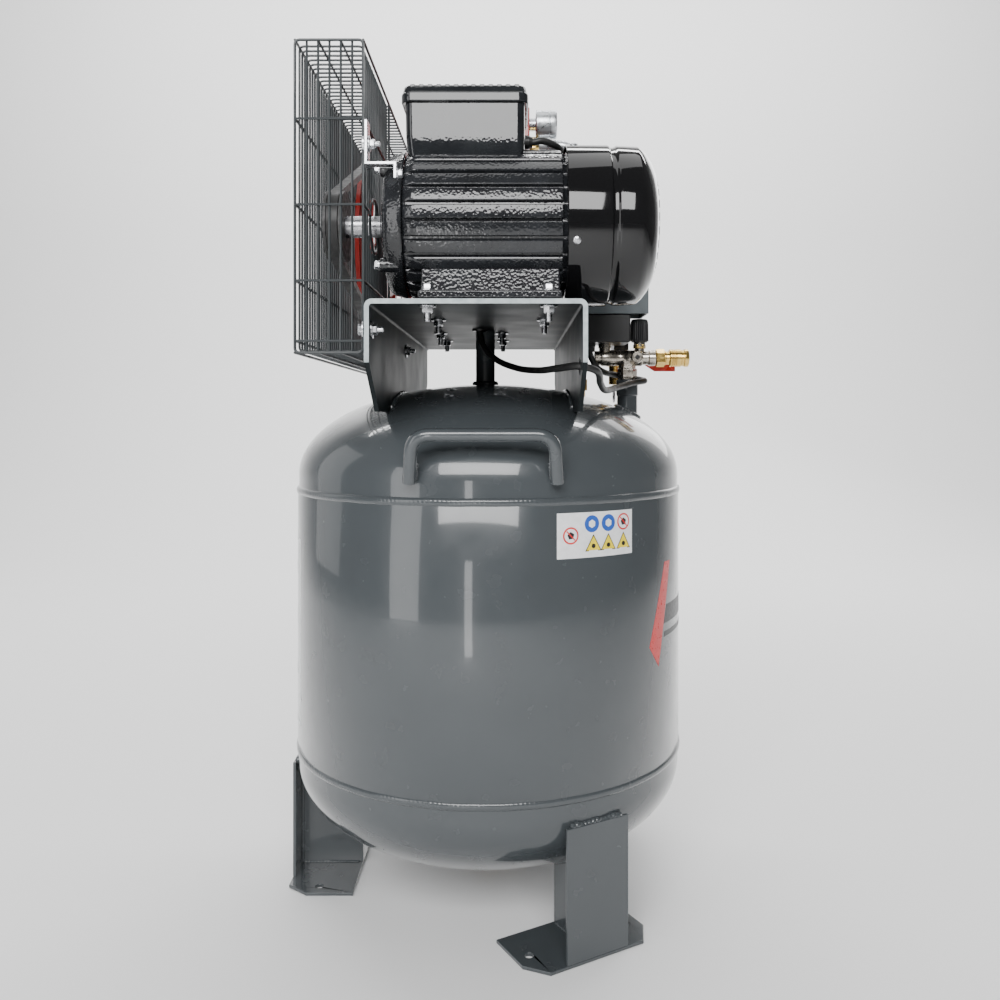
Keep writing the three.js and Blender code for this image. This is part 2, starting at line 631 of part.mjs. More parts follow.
const SPIGOT = 5; // how far each end shield reaches into the housing
const seat = BEARING_RADIUS + GAP;
const shaftHole = SHAFT_RADIUS + RUN;
const frontShield = [
  [SHIELD_FRONT, shaftHole],
  [SHIELD_FRONT, 44],
  [SHIELD_FRONT + 8, MOTOR_RADIUS - 6],
  [MOTOR_LEFT - GAP, MOTOR_RADIUS],
  [MOTOR_LEFT - GAP, motorBore - GAP],
  [MOTOR_LEFT + SPIGOT, motorBore - GAP],
  [MOTOR_LEFT + SPIGOT, motorBore - 8],
  [MOTOR_LEFT - 8, motorBore - 8],
  [MOTOR_LEFT - 8, seat],
  [SHIELD_FRONT + 6, seat],
  [SHIELD_FRONT + 6, shaftHole],
  [SHIELD_FRONT, shaftHole],
];
piece("motor_front_shield", turned("x", frontShield, motorAxis, ROUND), blackPaint, motor);

const rearShield = [
  [MOTOR_RIGHT - SPIGOT, motorBore - 8],
  [MOTOR_RIGHT - SPIGOT, motorBore - GAP],
  [MOTOR_RIGHT + GAP, motorBore - GAP],
  [MOTOR_RIGHT + GAP, MOTOR_RADIUS - 2],
  [SHIELD_REAR, MOTOR_RADIUS - 6],
  [SHIELD_REAR, shaftHole],
  [SHIELD_REAR - 5, shaftHole],
  [SHIELD_REAR - 5, seat],
  [MOTOR_RIGHT - SPIGOT, seat],
  [MOTOR_RIGHT - SPIGOT, motorBore - 8],
];
piece("motor_rear_shield", turned("x", rearShield, motorAxis, ROUND), blackPaint, motor);

const FRONT_BEARING = SHIELD_FRONT + 6 + GAP;
const REAR_BEARING = SHIELD_REAR - 5 - GAP - BEARING_WIDTH;
for (const [name, start] of [["front_bearing", FRONT_BEARING], ["rear_bearing", REAR_BEARING]]) {
  piece(name, ring("x", start, start + BEARING_WIDTH, shaftHole, BEARING_RADIUS, motorAxis), steel, motor);
}

const statorRadii = [ROTOR_RADIUS + AIR_GAP, motorBore - GAP];
piece("stator_core", ring("x", -STATOR_HALF, STATOR_HALF, ...statorRadii, motorAxis, ROUND), steel, motor);
piece("rotor_core", ring("x", -STATOR_HALF, STATOR_HALF, SHAFT_RADIUS + GAP, ROTOR_RADIUS, motorAxis, ROUND), castIron, motor);

const PULLEY_HALF = 10;
const SHAFT_LEFT = BELT_PLANE - PULLEY_HALF - 4;
const FAN_LEFT = SHIELD_REAR + 10;
const FAN_HUB = 22;
piece("motor_shaft", rod("x", SHAFT_LEFT, FAN_LEFT + FAN_HUB, SHAFT_RADIUS, motorAxis), steel, motor);

// Fan: a hub and a back plate carrying straight blades.
const fanBlades = Array.from({ length: 6 }, (_, i) => {
  const blade = block(FAN_LEFT + 3, FAN_LEFT + 30, -2, 2, SHAFT_RADIUS + 4, FAN_RADIUS);
  const around = new THREE.Matrix4().makeRotationX((i * Math.PI) / 3);
  around.premultiply(new THREE.Matrix4().makeTranslation(0, MOTOR_Y, MOTOR_Z));
  return solid(geometryOf(blade).applyMatrix4(around));
});
const fanBody = union(
  ring("x", FAN_LEFT, FAN_LEFT + FAN_HUB, SHAFT_RADIUS + GAP, SHAFT_RADIUS + 8, motorAxis),
  ring("x", FAN_LEFT, FAN_LEFT + 4, SHAFT_RADIUS + GAP, FAN_RADIUS, motorAxis, ROUND),
);
piece("motor_fan", union(fanBody, ...fanBlades), blackPlastic, motor);

// Fan cowl: a cup over the rear shield, with air slots through its end.
const cowlSection = [
  [MOTOR_RIGHT + GAP, COWL_RADIUS - COWL_WALL],
  [MOTOR_RIGHT + GAP, COWL_RADIUS],
  [COWL_SHOULDER, COWL_RADIUS],
  [COWL_RIGHT - 9, COWL_RADIUS - 12],
  [COWL_RIGHT, COWL_RADIUS - 33],
  [COWL_RIGHT, 0],
  [COWL_RIGHT - COWL_WALL, 0],
  [COWL_RIGHT - COWL_WALL, COWL_RADIUS - 34],
  [COWL_RIGHT - 10, COWL_RADIUS - 14],
  [COWL_SHOULDER, COWL_RADIUS - COWL_WALL],
  [MOTOR_RIGHT + GAP, COWL_RADIUS - COWL_WALL],
];
const airSlots = [-3, -2, -1, 0, 1, 2, 3].map((row) => {
  const z = MOTOR_Z + row * 13;
  const half = Math.sqrt((COWL_RADIUS - 38) ** 2 - (row * 13) ** 2);
  return block(COWL_RIGHT - 8, COWL_RIGHT + 1, MOTOR_Y - half, MOTOR_Y + half, z - 3, z + 3);
});
piece("fan_cowl", cut(turned("x", cowlSection, motorAxis, ROUND), ...airSlots), cowlPaint, motor);

// ---------------------------------------------------------------- terminal box
const motorSpace = rod("x", MOTOR_LEFT - 1, MOTOR_RIGHT + 1, MOTOR_RADIUS + GAP, motorAxis, 2 * ROUND);
const boxFront = MOTOR_Y - BOX_DEPTH / 2;
const boxRear = MOTOR_Y + BOX_DEPTH / 2;
const boxInside = [BOX_LEFT + BOX_WALL, BOX_RIGHT - BOX_WALL, boxFront + BOX_WALL, boxRear - BOX_WALL];
const boxShell = cut(
  block(BOX_LEFT, BOX_RIGHT, boxFront, boxRear, BOX_BOTTOM, BOX_TOP),
  block(...boxInside, MOTOR_Z + MOTOR_RADIUS + 3, BOX_TOP + 1),
  motorSpace,
);
piece("terminal_box", boxShell, blackPaint, motor);

const lidOuter = block(BOX_LEFT - LID_LIP, BOX_RIGHT + LID_LIP, boxFront - LID_LIP, boxRear + LID_LIP, BOX_TOP + GAP, LID_TOP);
const lidInner = block(...boxInside, BOX_TOP - 1, LID_TOP - BOX_WALL);
const ribPitch = (BOX_RIGHT - BOX_LEFT) / LID_RIBS;
const lidNotches = Array.from({ length: LID_RIBS }, (_, i) => {
  const x = BOX_LEFT + ribPitch * (i + 0.5);
  return block(x - 2.2, x + 2.2, boxFront - LID_LIP - 1, boxFront - LID_LIP + 2, LID_TOP - 7, LID_TOP + 1);
});
piece("terminal_box_lid", cut(lidOuter, lidInner, ...lidNotches), blackPaint, motor);

const CAPACITOR_Z = MOTOR_Z + MOTOR_RADIUS + 3 + GAP + CAPACITOR_RADIUS;
const capacitorEnds = [BOX_LEFT + BOX_WALL + 6, BOX_RIGHT - BOX_WALL - 26];
piece("start_capacitor", rod("x", ...capacitorEnds, CAPACITOR_RADIUS, [0, MOTOR_Y, CAPACITOR_Z]), aluminium, motor);

// ---------------------------------------------------------------- belt drive
const pumpAxis = [0, PUMP_Y, PUMP_Z];
const beltHalf = BELT_WIDTH / 2;
const groove = beltHalf + RUN;

function grooveSection(half, outer, inner) {
  const bottom = outer - BELT_THICK - GAP;
  return [
    [BELT_PLANE - half, inner],
    [BELT_PLANE - half, outer],
    [BELT_PLANE - groove, outer],
    [BELT_PLANE - groove, bottom],
    [BELT_PLANE + groove, bottom],
    [BELT_PLANE + groove, outer],
    [BELT_PLANE + half, outer],
    [BELT_PLANE + half, inner],
    [BELT_PLANE - half, inner],
  ];
}
const pulleySection = grooveSection(PULLEY_HALF, MOTOR_PULLEY_RADIUS, SHAFT_RADIUS + GAP);
piece("motor_pulley", turned("x", pulleySection, motorAxis, ROUND), castIron, motor);

const wheelHalf = FLYWHEEL_WIDTH / 2;
const rimInside = FLYWHEEL_RADIUS - FLYWHEEL_RIM;
const wheelRim = turned("x", grooveSection(wheelHalf, FLYWHEEL_RADIUS, rimInside), pumpAxis, 32);
const wheelHub = ring("x", BELT_PLANE - wheelHalf - 4, BELT_PLANE + wheelHalf + 4, JOURNAL + GAP, HUB_RADIUS, pumpAxis);
const spokes = Array.from({ length: SPOKE_COUNT }, (_, i) => {
  const flat = block(-6, 6, -SPOKE_WIDTH / 2, SPOKE_WIDTH / 2, HUB_RADIUS - 4, rimInside + 3);
  const twist = new THREE.Matrix4().makeRotationZ(THREE.MathUtils.degToRad(25));
  const around = new THREE.Matrix4().makeRotationX((i * 2 * Math.PI) / SPOKE_COUNT);
  const place = new THREE.Matrix4().makeTranslation(BELT_PLANE, PUMP_Y, PUMP_Z);
  return solid(geometryOf(flat).applyMatrix4(place.multiply(around).multiply(twist)));
});
piece("flywheel", union(wheelRim, wheelHub, ...spokes), redPaint);

// Two arcs and their two common tangents, inset from the belt's outer face.
function beltOutline(inset) {
  const small = MOTOR_PULLEY_RADIUS - inset;
  const large = FLYWHEEL_RADIUS - inset;
  const run = [PUMP_Y - MOTOR_Y, PUMP_Z - MOTOR_Z];
  const lean = Math.atan2(run[1], run[0]);
  const open = Math.acos((small - large) / Math.hypot(...run));
  const shape = new THREE.Shape();
  shape.absarc(MOTOR_Y, MOTOR_Z, small, lean + open, lean - open + 2 * Math.PI, false);
  shape.absarc(PUMP_Y, PUMP_Z, large, lean - open, lean + open, false);
  const [first] = shape.getPoints(10);
  shape.lineTo(first.x, first.y);
  return new THREE.Shape(shape.getPoints(10).slice(0, -1));
}
const beltOuter = prism("x", beltOutline(0), BELT_PLANE - beltHalf, BELT_PLANE + beltHalf);
const beltInner = prism("x", beltOutline(BELT_THICK), BELT_PLANE - groove, BELT_PLANE + groove);
const wheelSpace = rod("x", BELT_PLANE - groove, BELT_PLANE + groove, FLYWHEEL_RADIUS - BELT_THICK + GAP / 2, pumpAxis, 48);
const pulleySpace = rod("x", BELT_PLANE - groove, BELT_PLANE + groove, MOTOR_PULLEY_RADIUS - BELT_THICK, motorAxis, ROUND);
piece("drive_belt", cut(beltOuter, beltInner, wheelSpace, pulleySpace), blackRubber);

// ---------------------------------------------------------------- pump
const pump = new THREE.Group();
compressor.add(pump);
const pumpFront = PUMP_Y - CRANKCASE_WIDTH / 2;
const pumpRear = PUMP_Y + CRANKCASE_WIDTH / 2;
const caseBottom = PLATFORM_TOP + GAP;
const COVER_PLATE = 12;
const COVER_OPENING = 40;

const caseFeet = block(
  CRANKCASE_LEFT + 12,
  CRANKCASE_RIGHT - 12,
  PUMP_Y - PUMP_FOOT_WIDTH / 2,
  PUMP_Y + PUMP_FOOT_WIDTH / 2,
  caseBottom,
  caseBottom + PUMP_FOOT_PLATE,
);
const caseOuter = block(CRANKCASE_LEFT, CRANKCASE_RIGHT, pumpFront, pumpRear, caseBottom, CRANKCASE_TOP);
const caseInner = block(
  CRANKCASE_LEFT + CRANKCASE_WALL,
  CRANKCASE_RIGHT - CRANKCASE_WALL,
  pumpFront + CRANKCASE_WALL,
  pumpRear - CRANKCASE_WALL,
  caseBottom + CRANKCASE_WALL,
  CRANKCASE_TOP - CRANKCASE_WALL,
);
const bores = CYLINDERS.map((x) => rod("z", CRANKCASE_TOP - 20, BLOCK_TOP + 1, BORE_RADIUS, [x, PUMP_Y, 0], 32));
const caseOpening = rod("x", CRANKCASE_LEFT - 1, CRANKCASE_LEFT + CRANKCASE_WALL + 1, COVER_OPENING, pumpAxis, 24);
const caseHoles = PUMP_BOLTS.map(([x, y]) => rod("z", caseBottom - 1, caseBottom + PUMP_FOOT_PLATE + 1, BOLT_HOLE, [x, y, 0], 12));
piece("crankcase", cut(union(caseOuter, caseFeet), caseInner, caseOpening, ...bores, ...caseHoles), redPaint, pump);

const coverSection = [
  [CRANKCASE_LEFT - GAP - COVER_PLATE, JOURNAL + RUN],
  [CRANKCASE_LEFT - GAP - COVER_PLATE, 26],
  [CRANKCASE_LEFT - GAP - 7, 30],
  [CRANKCASE_LEFT - GAP - 7, COVER_OPENING + 12],
  [CRANKCASE_LEFT - GAP, COVER_OPENING + 12],
  [CRANKCASE_LEFT - GAP, JOURNAL + RUN],
  [CRANKCASE_LEFT - GAP - COVER_PLATE, JOURNAL + RUN],
];
piece("crankcase_cover", turned("x", coverSection, pumpAxis, 32), redPaint, pump);

const halfLength = BLOCK_LENGTH / 2;
const halfWidth = BLOCK_WIDTH / 2;
const blockBottom = CRANKCASE_TOP + GAP;
const blockCore = block(
  PUMP_X - halfLength + FIN_DEPTH,
  PUMP_X + halfLength - FIN_DEPTH,
  PUMP_Y - halfWidth + FIN_DEPTH,
  PUMP_Y + halfWidth - FIN_DEPTH,
  blockBottom,
  BLOCK_TOP,
);
const finPitch = (BLOCK_TOP - blockBottom) / (FIN_COUNT + 1);
const fins = Array.from({ length: FIN_COUNT }, (_, i) => {
  const z = blockBottom + finPitch * (i + 1);
  const sides = [PUMP_X - halfLength, PUMP_X + halfLength, PUMP_Y - halfWidth, PUMP_Y + halfWidth];
  return block(...sides, z - 1.5, z + 1.5);
});
piece("cylinder_block", cut(union(blockCore, ...fins), ...bores), redPaint, pump);

const headSides = [PUMP_X - halfLength, PUMP_X + halfLength, PUMP_Y - halfWidth, PUMP_Y + halfWidth];
const plateTop = BLOCK_TOP + GAP + VALVE_PLATE;
piece("valve_plate", block(...headSides, BLOCK_TOP + GAP, plateTop), steel, pump);
const headGrooves = [-3, -2, -1, 0, 1, 2, 3].map((row) =>
  block(headSides[0] - 1, headSides[1] + 1, PUMP_Y + row * 11 - 3, PUMP_Y + row * 11 + 3, HEAD_TOP - 14, HEAD_TOP + 1),
);
piece("cylinder_head", cut(block(...headSides, plateTop + GAP, HEAD_TOP), ...headGrooves), redPaint, pump);

// Crankshaft: a throw up under the left cylinder and one down under the right.
const WEB_INSIDE = 12;
const WEB_OUTSIDE = 21;
const crankParts = [];
CYLINDERS.forEach((x, i) => {
  const throwZ = PUMP_Z + (i ? -CRANK_THROW : CRANK_THROW);
  const span = [Math.min(PUMP_Z, throwZ) - 13, Math.max(PUMP_Z, throwZ) + 13];
  crankParts.push(rod("x", x - WEB_INSIDE - 1, x + WEB_INSIDE + 1, CRANK_PIN, [0, PUMP_Y, throwZ]));
  crankParts.push(block(x - WEB_OUTSIDE, x - WEB_INSIDE, PUMP_Y - 14, PUMP_Y + 14, ...span));
  crankParts.push(block(x + WEB_INSIDE, x + WEB_OUTSIDE, PUMP_Y - 14, PUMP_Y + 14, ...span));
});
const crankEnds = [BELT_PLANE - wheelHalf - 10, CRANKCASE_RIGHT - CRANKCASE_WALL - 2];
crankParts.push(rod("x", crankEnds[0], CYLINDERS[0] - WEB_INSIDE - 1, JOURNAL, pumpAxis));
crankParts.push(rod("x", CYLINDERS[0] + WEB_INSIDE + 1, CYLINDERS[1] - WEB_INSIDE - 1, JOURNAL - 1, pumpAxis));
crankParts.push(rod("x", CYLINDERS[1] + WEB_INSIDE + 1, crankEnds[1], JOURNAL - 1, pumpAxis));
piece("crankshaft", union(...crankParts), steel, pump);

["left", "right"].forEach((side, i) => {
  const x = CYLINDERS[i];
  const bigEnd = PUMP_Z + (i ? -CRANK_THROW : CRANK_THROW);
  const smallEnd = bigEnd + ROD_LENGTH;
  const rodBody = union(
    rod("x", x - 9, x + 9, CRANK_PIN + 7, [0, PUMP_Y, bigEnd]),
    block(x - 5, x + 5, PUMP_Y - 6, PUMP_Y + 6, bigEnd, smallEnd),
    rod("x", x - 6, x + 6, 7, [0, PUMP_Y, smallEnd], 16),
  );
  const pinHole = rod("x", x - 10, x + 10, CRANK_PIN + RUN, [0, PUMP_Y, bigEnd]);
  piece("connecting_rod_" + side, cut(rodBody, pinHole), aluminium, pump);
  const crown = BLOCK_TOP - 1;
  const pistonSection = [
    [crown - PISTON_HEIGHT, BORE_RADIUS - 4],
    [crown - PISTON_HEIGHT, BORE_RADIUS - RUN],
    [crown, BORE_RADIUS - RUN],
    [crown, 0],
    [crown - 8, 0],
    [crown - 8, BORE_RADIUS - 4],
    [crown - PISTON_HEIGHT, BORE_RADIUS - 4],
  ];
  piece("piston_" + side, turned("z", pistonSection, [x, PUMP_Y, 0], 32), aluminium, pump);
});

const headRight = headSides[1] + GAP;
const filterAxis = [0, PUMP_Y, FILTER_Z];
const filterSection = [
  [headRight, 0],
  [headRight, 10],
  [headRight + 9, 10],
  [headRight + 9, FILTER_RADIUS - 2],
  [headRight + 12, FILTER_RADIUS - 0.6],
  [FILTER_RIGHT - 11, FILTER_RADIUS - 0.6],
  [FILTER_RIGHT - 11, FILTER_RADIUS],
  [FILTER_RIGHT - 8, FILTER_RADIUS],
  [FILTER_RIGHT - 8, FILTER_RADIUS - 0.6],
  [FILTER_RIGHT - 2, FILTER_RADIUS - 0.6],
  [FILTER_RIGHT, FILTER_RADIUS - 3],
  [FILTER_RIGHT, 0],
];
piece("intake_filter", turned("x", filterSection, filterAxis, 32), aluminium, pump);

const oilFiller = [
  [CRANKCASE_RIGHT + GAP, 0],
  [CRANKCASE_RIGHT + GAP, 9],
  [CRANKCASE_RIGHT + 6, 9],
  [CRANKCASE_RIGHT + 6, 12],
  [CRANKCASE_RIGHT + 16, 11],
  [CRANKCASE_RIGHT + 16, 0],
];
piece("oil_filler_cap", turned("x", oilFiller, [0, PUMP_Y + 30, CRANKCASE_TOP - 22], 16), blackPlastic, pump);
piece("oil_sight_glass", rod("x", CRANKCASE_RIGHT + GAP, CRANKCASE_RIGHT + 6, 13, [0, PUMP_Y, PLATFORM_TOP + 42], 24), glass, pump);

// ---------------------------------------------------------------- air line
const air = new THREE.Group();
compressor.add(air);

// Height of the receiver's outside at a distance from its axis.
function headHeight(x, y) {
  const share = Math.hypot(x, y) / (TANK_RADIUS - HEAD_STEP);
  return UPPER_TANGENT + HEAD_DEPTH * (1 - share ** HEAD_POWER) ** (1 / HEAD_POWER);
}

const CHECK_X = 125;
const CHECK_TOP = UPPER_TANGENT + 136;
const PIPE_RADIUS = 8;
const PIPE_Z = BLOCK_TOP + 15;
const checkBottom = headHeight(CHECK_X, PUMP_Y) - 12;
const checkBody = union(
  rod("z", checkBottom, CHECK_TOP, 11, [CHECK_X, PUMP_Y, 0], 12),
  rod("z", CHECK_TOP - 24, CHECK_TOP - 8, 15, [CHECK_X, PUMP_Y, 0], 6),
);
piece("check_valve", cut(checkBody, tankSpace), brass, air);
const pipeRoute = [
  [headRight, PUMP_Y, PIPE_Z],
  [CHECK_X, PUMP_Y, PIPE_Z],
  [CHECK_X, PUMP_Y, CHECK_TOP + GAP],
];
piece("discharge_pipe", tube(bentCurve(pipeRoute, 24), PIPE_RADIUS, 40, 8), aluminium, air);

// Manifold along X: it stands on the outlet riser and carries the switch, regulator and outlet.
const PLUG_X = 196;
const PLUG_REACH = 22;
const REAR_PORT = 34;
const lineBottom = OUTLET_TOP + GAP;
const manifold = union(
  rod("x", SWITCH_X - 14, VALVE_RIGHT, LINE_RADIUS, [0, 0, LINE_Z]),
  rod("z", lineBottom, LINE_Z, OUTLET_RADIUS - 2, [OUTLET_X, 0, 0], 6),
  rod("z", LINE_Z, SWITCH_BOTTOM - GAP, 8, [SWITCH_X, 0, 0], 6),
  rod("z", LINE_Z, REGULATOR_BOTTOM - GAP, 7.5, [REGULATOR_X, 0, 0], 12),
  rod("y", -PLUG_REACH, 0, 8, [PLUG_X, 0, LINE_Z]),
  rod("y", 0, REAR_PORT, 6, [PLUG_X - 24, 0, LINE_Z], 8),
);
const plugSocket = rod("y", -PLUG_REACH - 1, -PLUG_REACH + 5, 3.5, [PLUG_X, 0, LINE_Z], 6);
piece("outlet_manifold", cut(manifold, plugSocket), nickel, air);

const regulatorKnob = [
  [REGULATOR_BOTTOM, 0],
  [REGULATOR_BOTTOM, REGULATOR_RADIUS - 1],
  [REGULATOR_BOTTOM + 3, REGULATOR_RADIUS],
  [REGULATOR_TOP - 3, REGULATOR_RADIUS],
  [REGULATOR_TOP, REGULATOR_RADIUS - 2],
  [REGULATOR_TOP, 0],
];
piece("regulator_knob", turned("z", regulatorKnob, [REGULATOR_X, 0, 0], 18), blackPlastic, air);

const SAFETY_Y = REAR_PORT + GAP;
const safetyAt = [PLUG_X - 24, SAFETY_Y + 9, 0];
const safetyBody = union(
  block(PLUG_X - 33, PLUG_X - 15, SAFETY_Y, SAFETY_Y + 18, LINE_Z - 9, LINE_Z + 9),
  rod("z", LINE_Z - 34, LINE_Z, 7, safetyAt, 12),
);
piece("safety_valve", safetyBody, brass, air);
const SAFETY_END = LINE_Z - 34;
const RING_GAP = 3;
const ringStem = rod("z", SAFETY_END - RING_GAP - 6, SAFETY_END - GAP, 2, safetyAt, 8);
const pullRing = new THREE.TorusGeometry(8, 1.2, 6, 16).rotateX(Math.PI / 2).rotateZ(Math.PI / 2);
pullRing.rotateX(Math.PI / 2).translate(safetyAt[0], safetyAt[1], SAFETY_END - RING_GAP - 13);
piece("safety_valve_ring", union(ringStem, solid(pullRing)), steel, air);

const GAUGE_X = PLUG_X - 12;
const GAUGE_Y = SAFETY_Y + 18 + GAP;
const gaugeCase = union(
  rod("x", GAUGE_X - 10, GAUGE_X + 10, GAUGE_RADIUS, [0, GAUGE_Y + GAUGE_RADIUS + 8, LINE_Z + 22], 24),
  rod("y", GAUGE_Y, GAUGE_Y + 14, 4.5, [PLUG_X - 18, 0, LINE_Z + 4], 8),
);
piece("pressure_gauge", gaugeCase, blackPlastic, air);

// Ball valve lever: a flat arm on a spindle behind the line, with a dropped grip.
const LEVER_X = 214;
const LEVER_Y = LINE_RADIUS + GAP;
const lever = union(
  rod("y", LEVER_Y, LEVER_Y + 8, 7, [LEVER_X, 0, LINE_Z], 12),
  prism(
    "y",
    [[LEVER_X - 6, LINE_Z + 4], [LEVER_X - 4, LINE_Z - 8], [LEVER_X + 10, LINE_Z - 17], [252, LINE_Z - 17],
      [252, LINE_Z - 7], [LEVER_X + 14, LINE_Z - 7], [LEVER_X + 6, LINE_Z + 4]],
    LEVER_Y + 4,
    LEVER_Y + 7,
  ),
);
piece("ball_valve_lever", lever, redPlastic, air);

const SLEEVE_LEFT = COUPLER_RIGHT - SLEEVE_LENGTH;
const couplerSection = [
  [VALVE_RIGHT + GAP, 4],
  [VALVE_RIGHT + GAP, COUPLER_RADIUS],
  [COUPLER_HEX, COUPLER_RADIUS],
  [COUPLER_HEX, COUPLER_RADIUS - 3],
  [COUPLER_RIGHT - 2, COUPLER_RADIUS - 3],
  [COUPLER_RIGHT - 2, COUPLER_BORE],
  [COUPLER_HEX + 4, COUPLER_BORE],
  [COUPLER_HEX + 3, 4],
  [VALVE_RIGHT + GAP, 4],
];
piece("coupler_body", turned("x", couplerSection, [0, 0, LINE_Z], 18), brass, air);
const sleeveSection = [
  [SLEEVE_LEFT, COUPLER_RADIUS - 3 + RUN],
  [SLEEVE_LEFT, COUPLER_RADIUS],
  [COUPLER_RIGHT - 9, COUPLER_RADIUS],
  [COUPLER_RIGHT - 8, COUPLER_RADIUS - 1],
  [COUPLER_RIGHT - 6, COUPLER_RADIUS - 1],
  [COUPLER_RIGHT - 5, COUPLER_RADIUS],
  [COUPLER_RIGHT, COUPLER_RADIUS],
  [COUPLER_RIGHT, COUPLER_RADIUS - 3 + RUN],
  [SLEEVE_LEFT, COUPLER_RADIUS - 3 + RUN],
];
piece("coupler_sleeve", turned("x", sleeveSection, [0, 0, LINE_Z], 18), brass, air);

// ---------------------------------------------------------------- pressure switch
const switchLeft = SWITCH_X - SWITCH_BASE_WIDTH / 2;
const switchRight = SWITCH_X + SWITCH_BASE_WIDTH / 2;
const switchHalf = SWITCH_DEPTH / 2;
piece("switch_base", block(switchLeft, switchRight, -switchHalf, switchHalf, SWITCH_BOTTOM, SWITCH_SEAM), blackPlastic, air);
const coverOuter = block(COVER_LEFT, COVER_RIGHT, -switchHalf - 4, switchHalf + 4, SWITCH_SEAM + GAP, SWITCH_TOP);
const coverInner = block(COVER_LEFT + 2.5, COVER_RIGHT - 2.5, -switchHalf - 1.5, switchHalf + 1.5, SWITCH_SEAM, SWITCH_TOP - 2.5);
piece("switch_cover", cut(coverOuter, coverInner, rod("z", SWITCH_TOP - 4, SWITCH_TOP + 1, 5, [SWITCH_X, 0, 0], 12)), greyPlastic, air);
const KNOB_LIFT = 6;
const knob = [
  [SWITCH_TOP - 20, 0],
  [SWITCH_TOP - 20, 4],
  [SWITCH_TOP + KNOB_LIFT, 4],
  [SWITCH_TOP + KNOB_LIFT, 11],
  [SWITCH_TOP + KNOB_LIFT + 9, 10],
  [SWITCH_TOP + KNOB_LIFT + 9, 0],
];
piece("switch_knob", turned("z", knob, [SWITCH_X, 0, 0], 16), redPlastic, air);

// ---------------------------------------------------------------- belt guard
const guard = new THREE.Group();
compressor.add(guard);

// A flat grille in a plane across an axis: a sheet one wire thick with equal windows cut in it.
function grille(axis, plane, [u0, u1], [v0, v1]) {
  const columns = Math.max(1, Math.round((u1 - u0) / GUARD_CELL));
  const rows = Math.max(1, Math.round((v1 - v0) / GUARD_CELL));
  const pitchU = (u1 - u0 - GUARD_WIRE) / columns;
  const pitchV = (v1 - v0 - GUARD_WIRE) / rows;
  const slab = (left, right, low, high, spare) => {
    const corners = [[left, low], [right, low], [right, high], [left, high]];
    return prism(axis, corners, plane - spare, plane + GUARD_WIRE + spare);
  };
  const windows = [];
  for (let i = 0; i < columns; i++) {
    for (let j = 0; j < rows; j++) {
      const left = u0 + GUARD_WIRE + pitchU * i;
      const low = v0 + GUARD_WIRE + pitchV * j;
      windows.push(slab(left, left + pitchU - GUARD_WIRE, low, low + pitchV - GUARD_WIRE, 1));
    }
  }
  return cut(slab(u0, u1, v0, v1, 0), ...windows);
}

const guardDepth = [GUARD_FRONT, GUARD_REAR];
const guardHeight = [GUARD_BOTTOM, GUARD_TOP];
const between = [GUARD_LEFT + GUARD_WIRE + GAP, GUARD_RIGHT - GUARD_WIRE - GAP];
const upright = [GUARD_BOTTOM + GUARD_WIRE + GAP, GUARD_TOP - GUARD_WIRE - GAP];
piece("guard_outer_panel", grille("x", GUARD_LEFT, guardDepth, guardHeight), wirePaint, guard);
const shaftWindow = rod("x", GUARD_RIGHT - 5, GUARD_RIGHT + 1, 30, motorAxis);
const shaftRing = ring("x", GUARD_RIGHT - GUARD_WIRE, GUARD_RIGHT, 28, 31, motorAxis);
const innerPanel = grille("x", GUARD_RIGHT - GUARD_WIRE, [GUARD_FRONT, INNER_PANEL_REAR], guardHeight);
piece("guard_inner_panel", union(cut(innerPanel, shaftWindow), shaftRing), wirePaint, guard);
piece("guard_top_panel", grille("z", GUARD_TOP - GUARD_WIRE, between, guardDepth), wirePaint, guard);
piece("guard_bottom_panel", grille("z", GUARD_BOTTOM, between, guardDepth), wirePaint, guard);
piece("guard_front_panel", grille("y", GUARD_FRONT, between, upright), wirePaint, guard);
piece("guard_rear_panel", grille("y", GUARD_REAR - GUARD_WIRE, between, upright), wirePaint, guard);

// Step-shaped strip: an upright on the guard, a ledge, and a foot on the motor's end shield.
const bracketLeft = GUARD_RIGHT + GAP;
const bracketOutline = [
  [bracketLeft, BRACKET_STEP - BRACKET_PLATE],
  [BRACKET_RIGHT - BRACKET_PLATE, BRACKET_STEP - BRACKET_PLATE],
  [BRACKET_RIGHT - BRACKET_PLATE, BRACKET_FOOT],
  [BRACKET_RIGHT, BRACKET_FOOT],
  [BRACKET_RIGHT, BRACKET_STEP],
  [bracketLeft + BRACKET_PLATE, BRACKET_STEP],
  [bracketLeft + BRACKET_PLATE, BRACKET_TOP],
  [bracketLeft, BRACKET_TOP],
];
const bracketSides = [BRACKET_Y - BRACKET_WIDTH / 2, BRACKET_Y + BRACKET_WIDTH / 2];
const shieldSpace = rod("x", SHIELD_FRONT - 1, MOTOR_LEFT + 20, MOTOR_RADIUS + GAP, motorAxis, 2 * ROUND);
piece("guard_bracket", cut(prism("y", bracketOutline, ...bracketSides), shieldSpace), zinc, guard);

// ---------------------------------------------------------------- motor lead
const leadCurve = new THREE.CatmullRomCurve3(leadPoints.map((point) => new THREE.Vector3(...point)), false, "centripetal");
piece("motor_lead", tube(leadCurve, LEAD_RADIUS, 70, 8), blackRubber);

// The origin goes to the middle of the footprint, at floor level.
const footprint = new THREE.Box3().setFromObject(compressor);
const middle = footprint.getCenter(new THREE.Vector3());
compressor.position.set(-middle.x, -middle.y, -footprint.min.z);

export default compressor;
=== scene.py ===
"""Looks of the vertical tank compressor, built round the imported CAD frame."""

import json
from itertools import product
from math import cos, hypot, pi, radians, sin, sqrt, tan

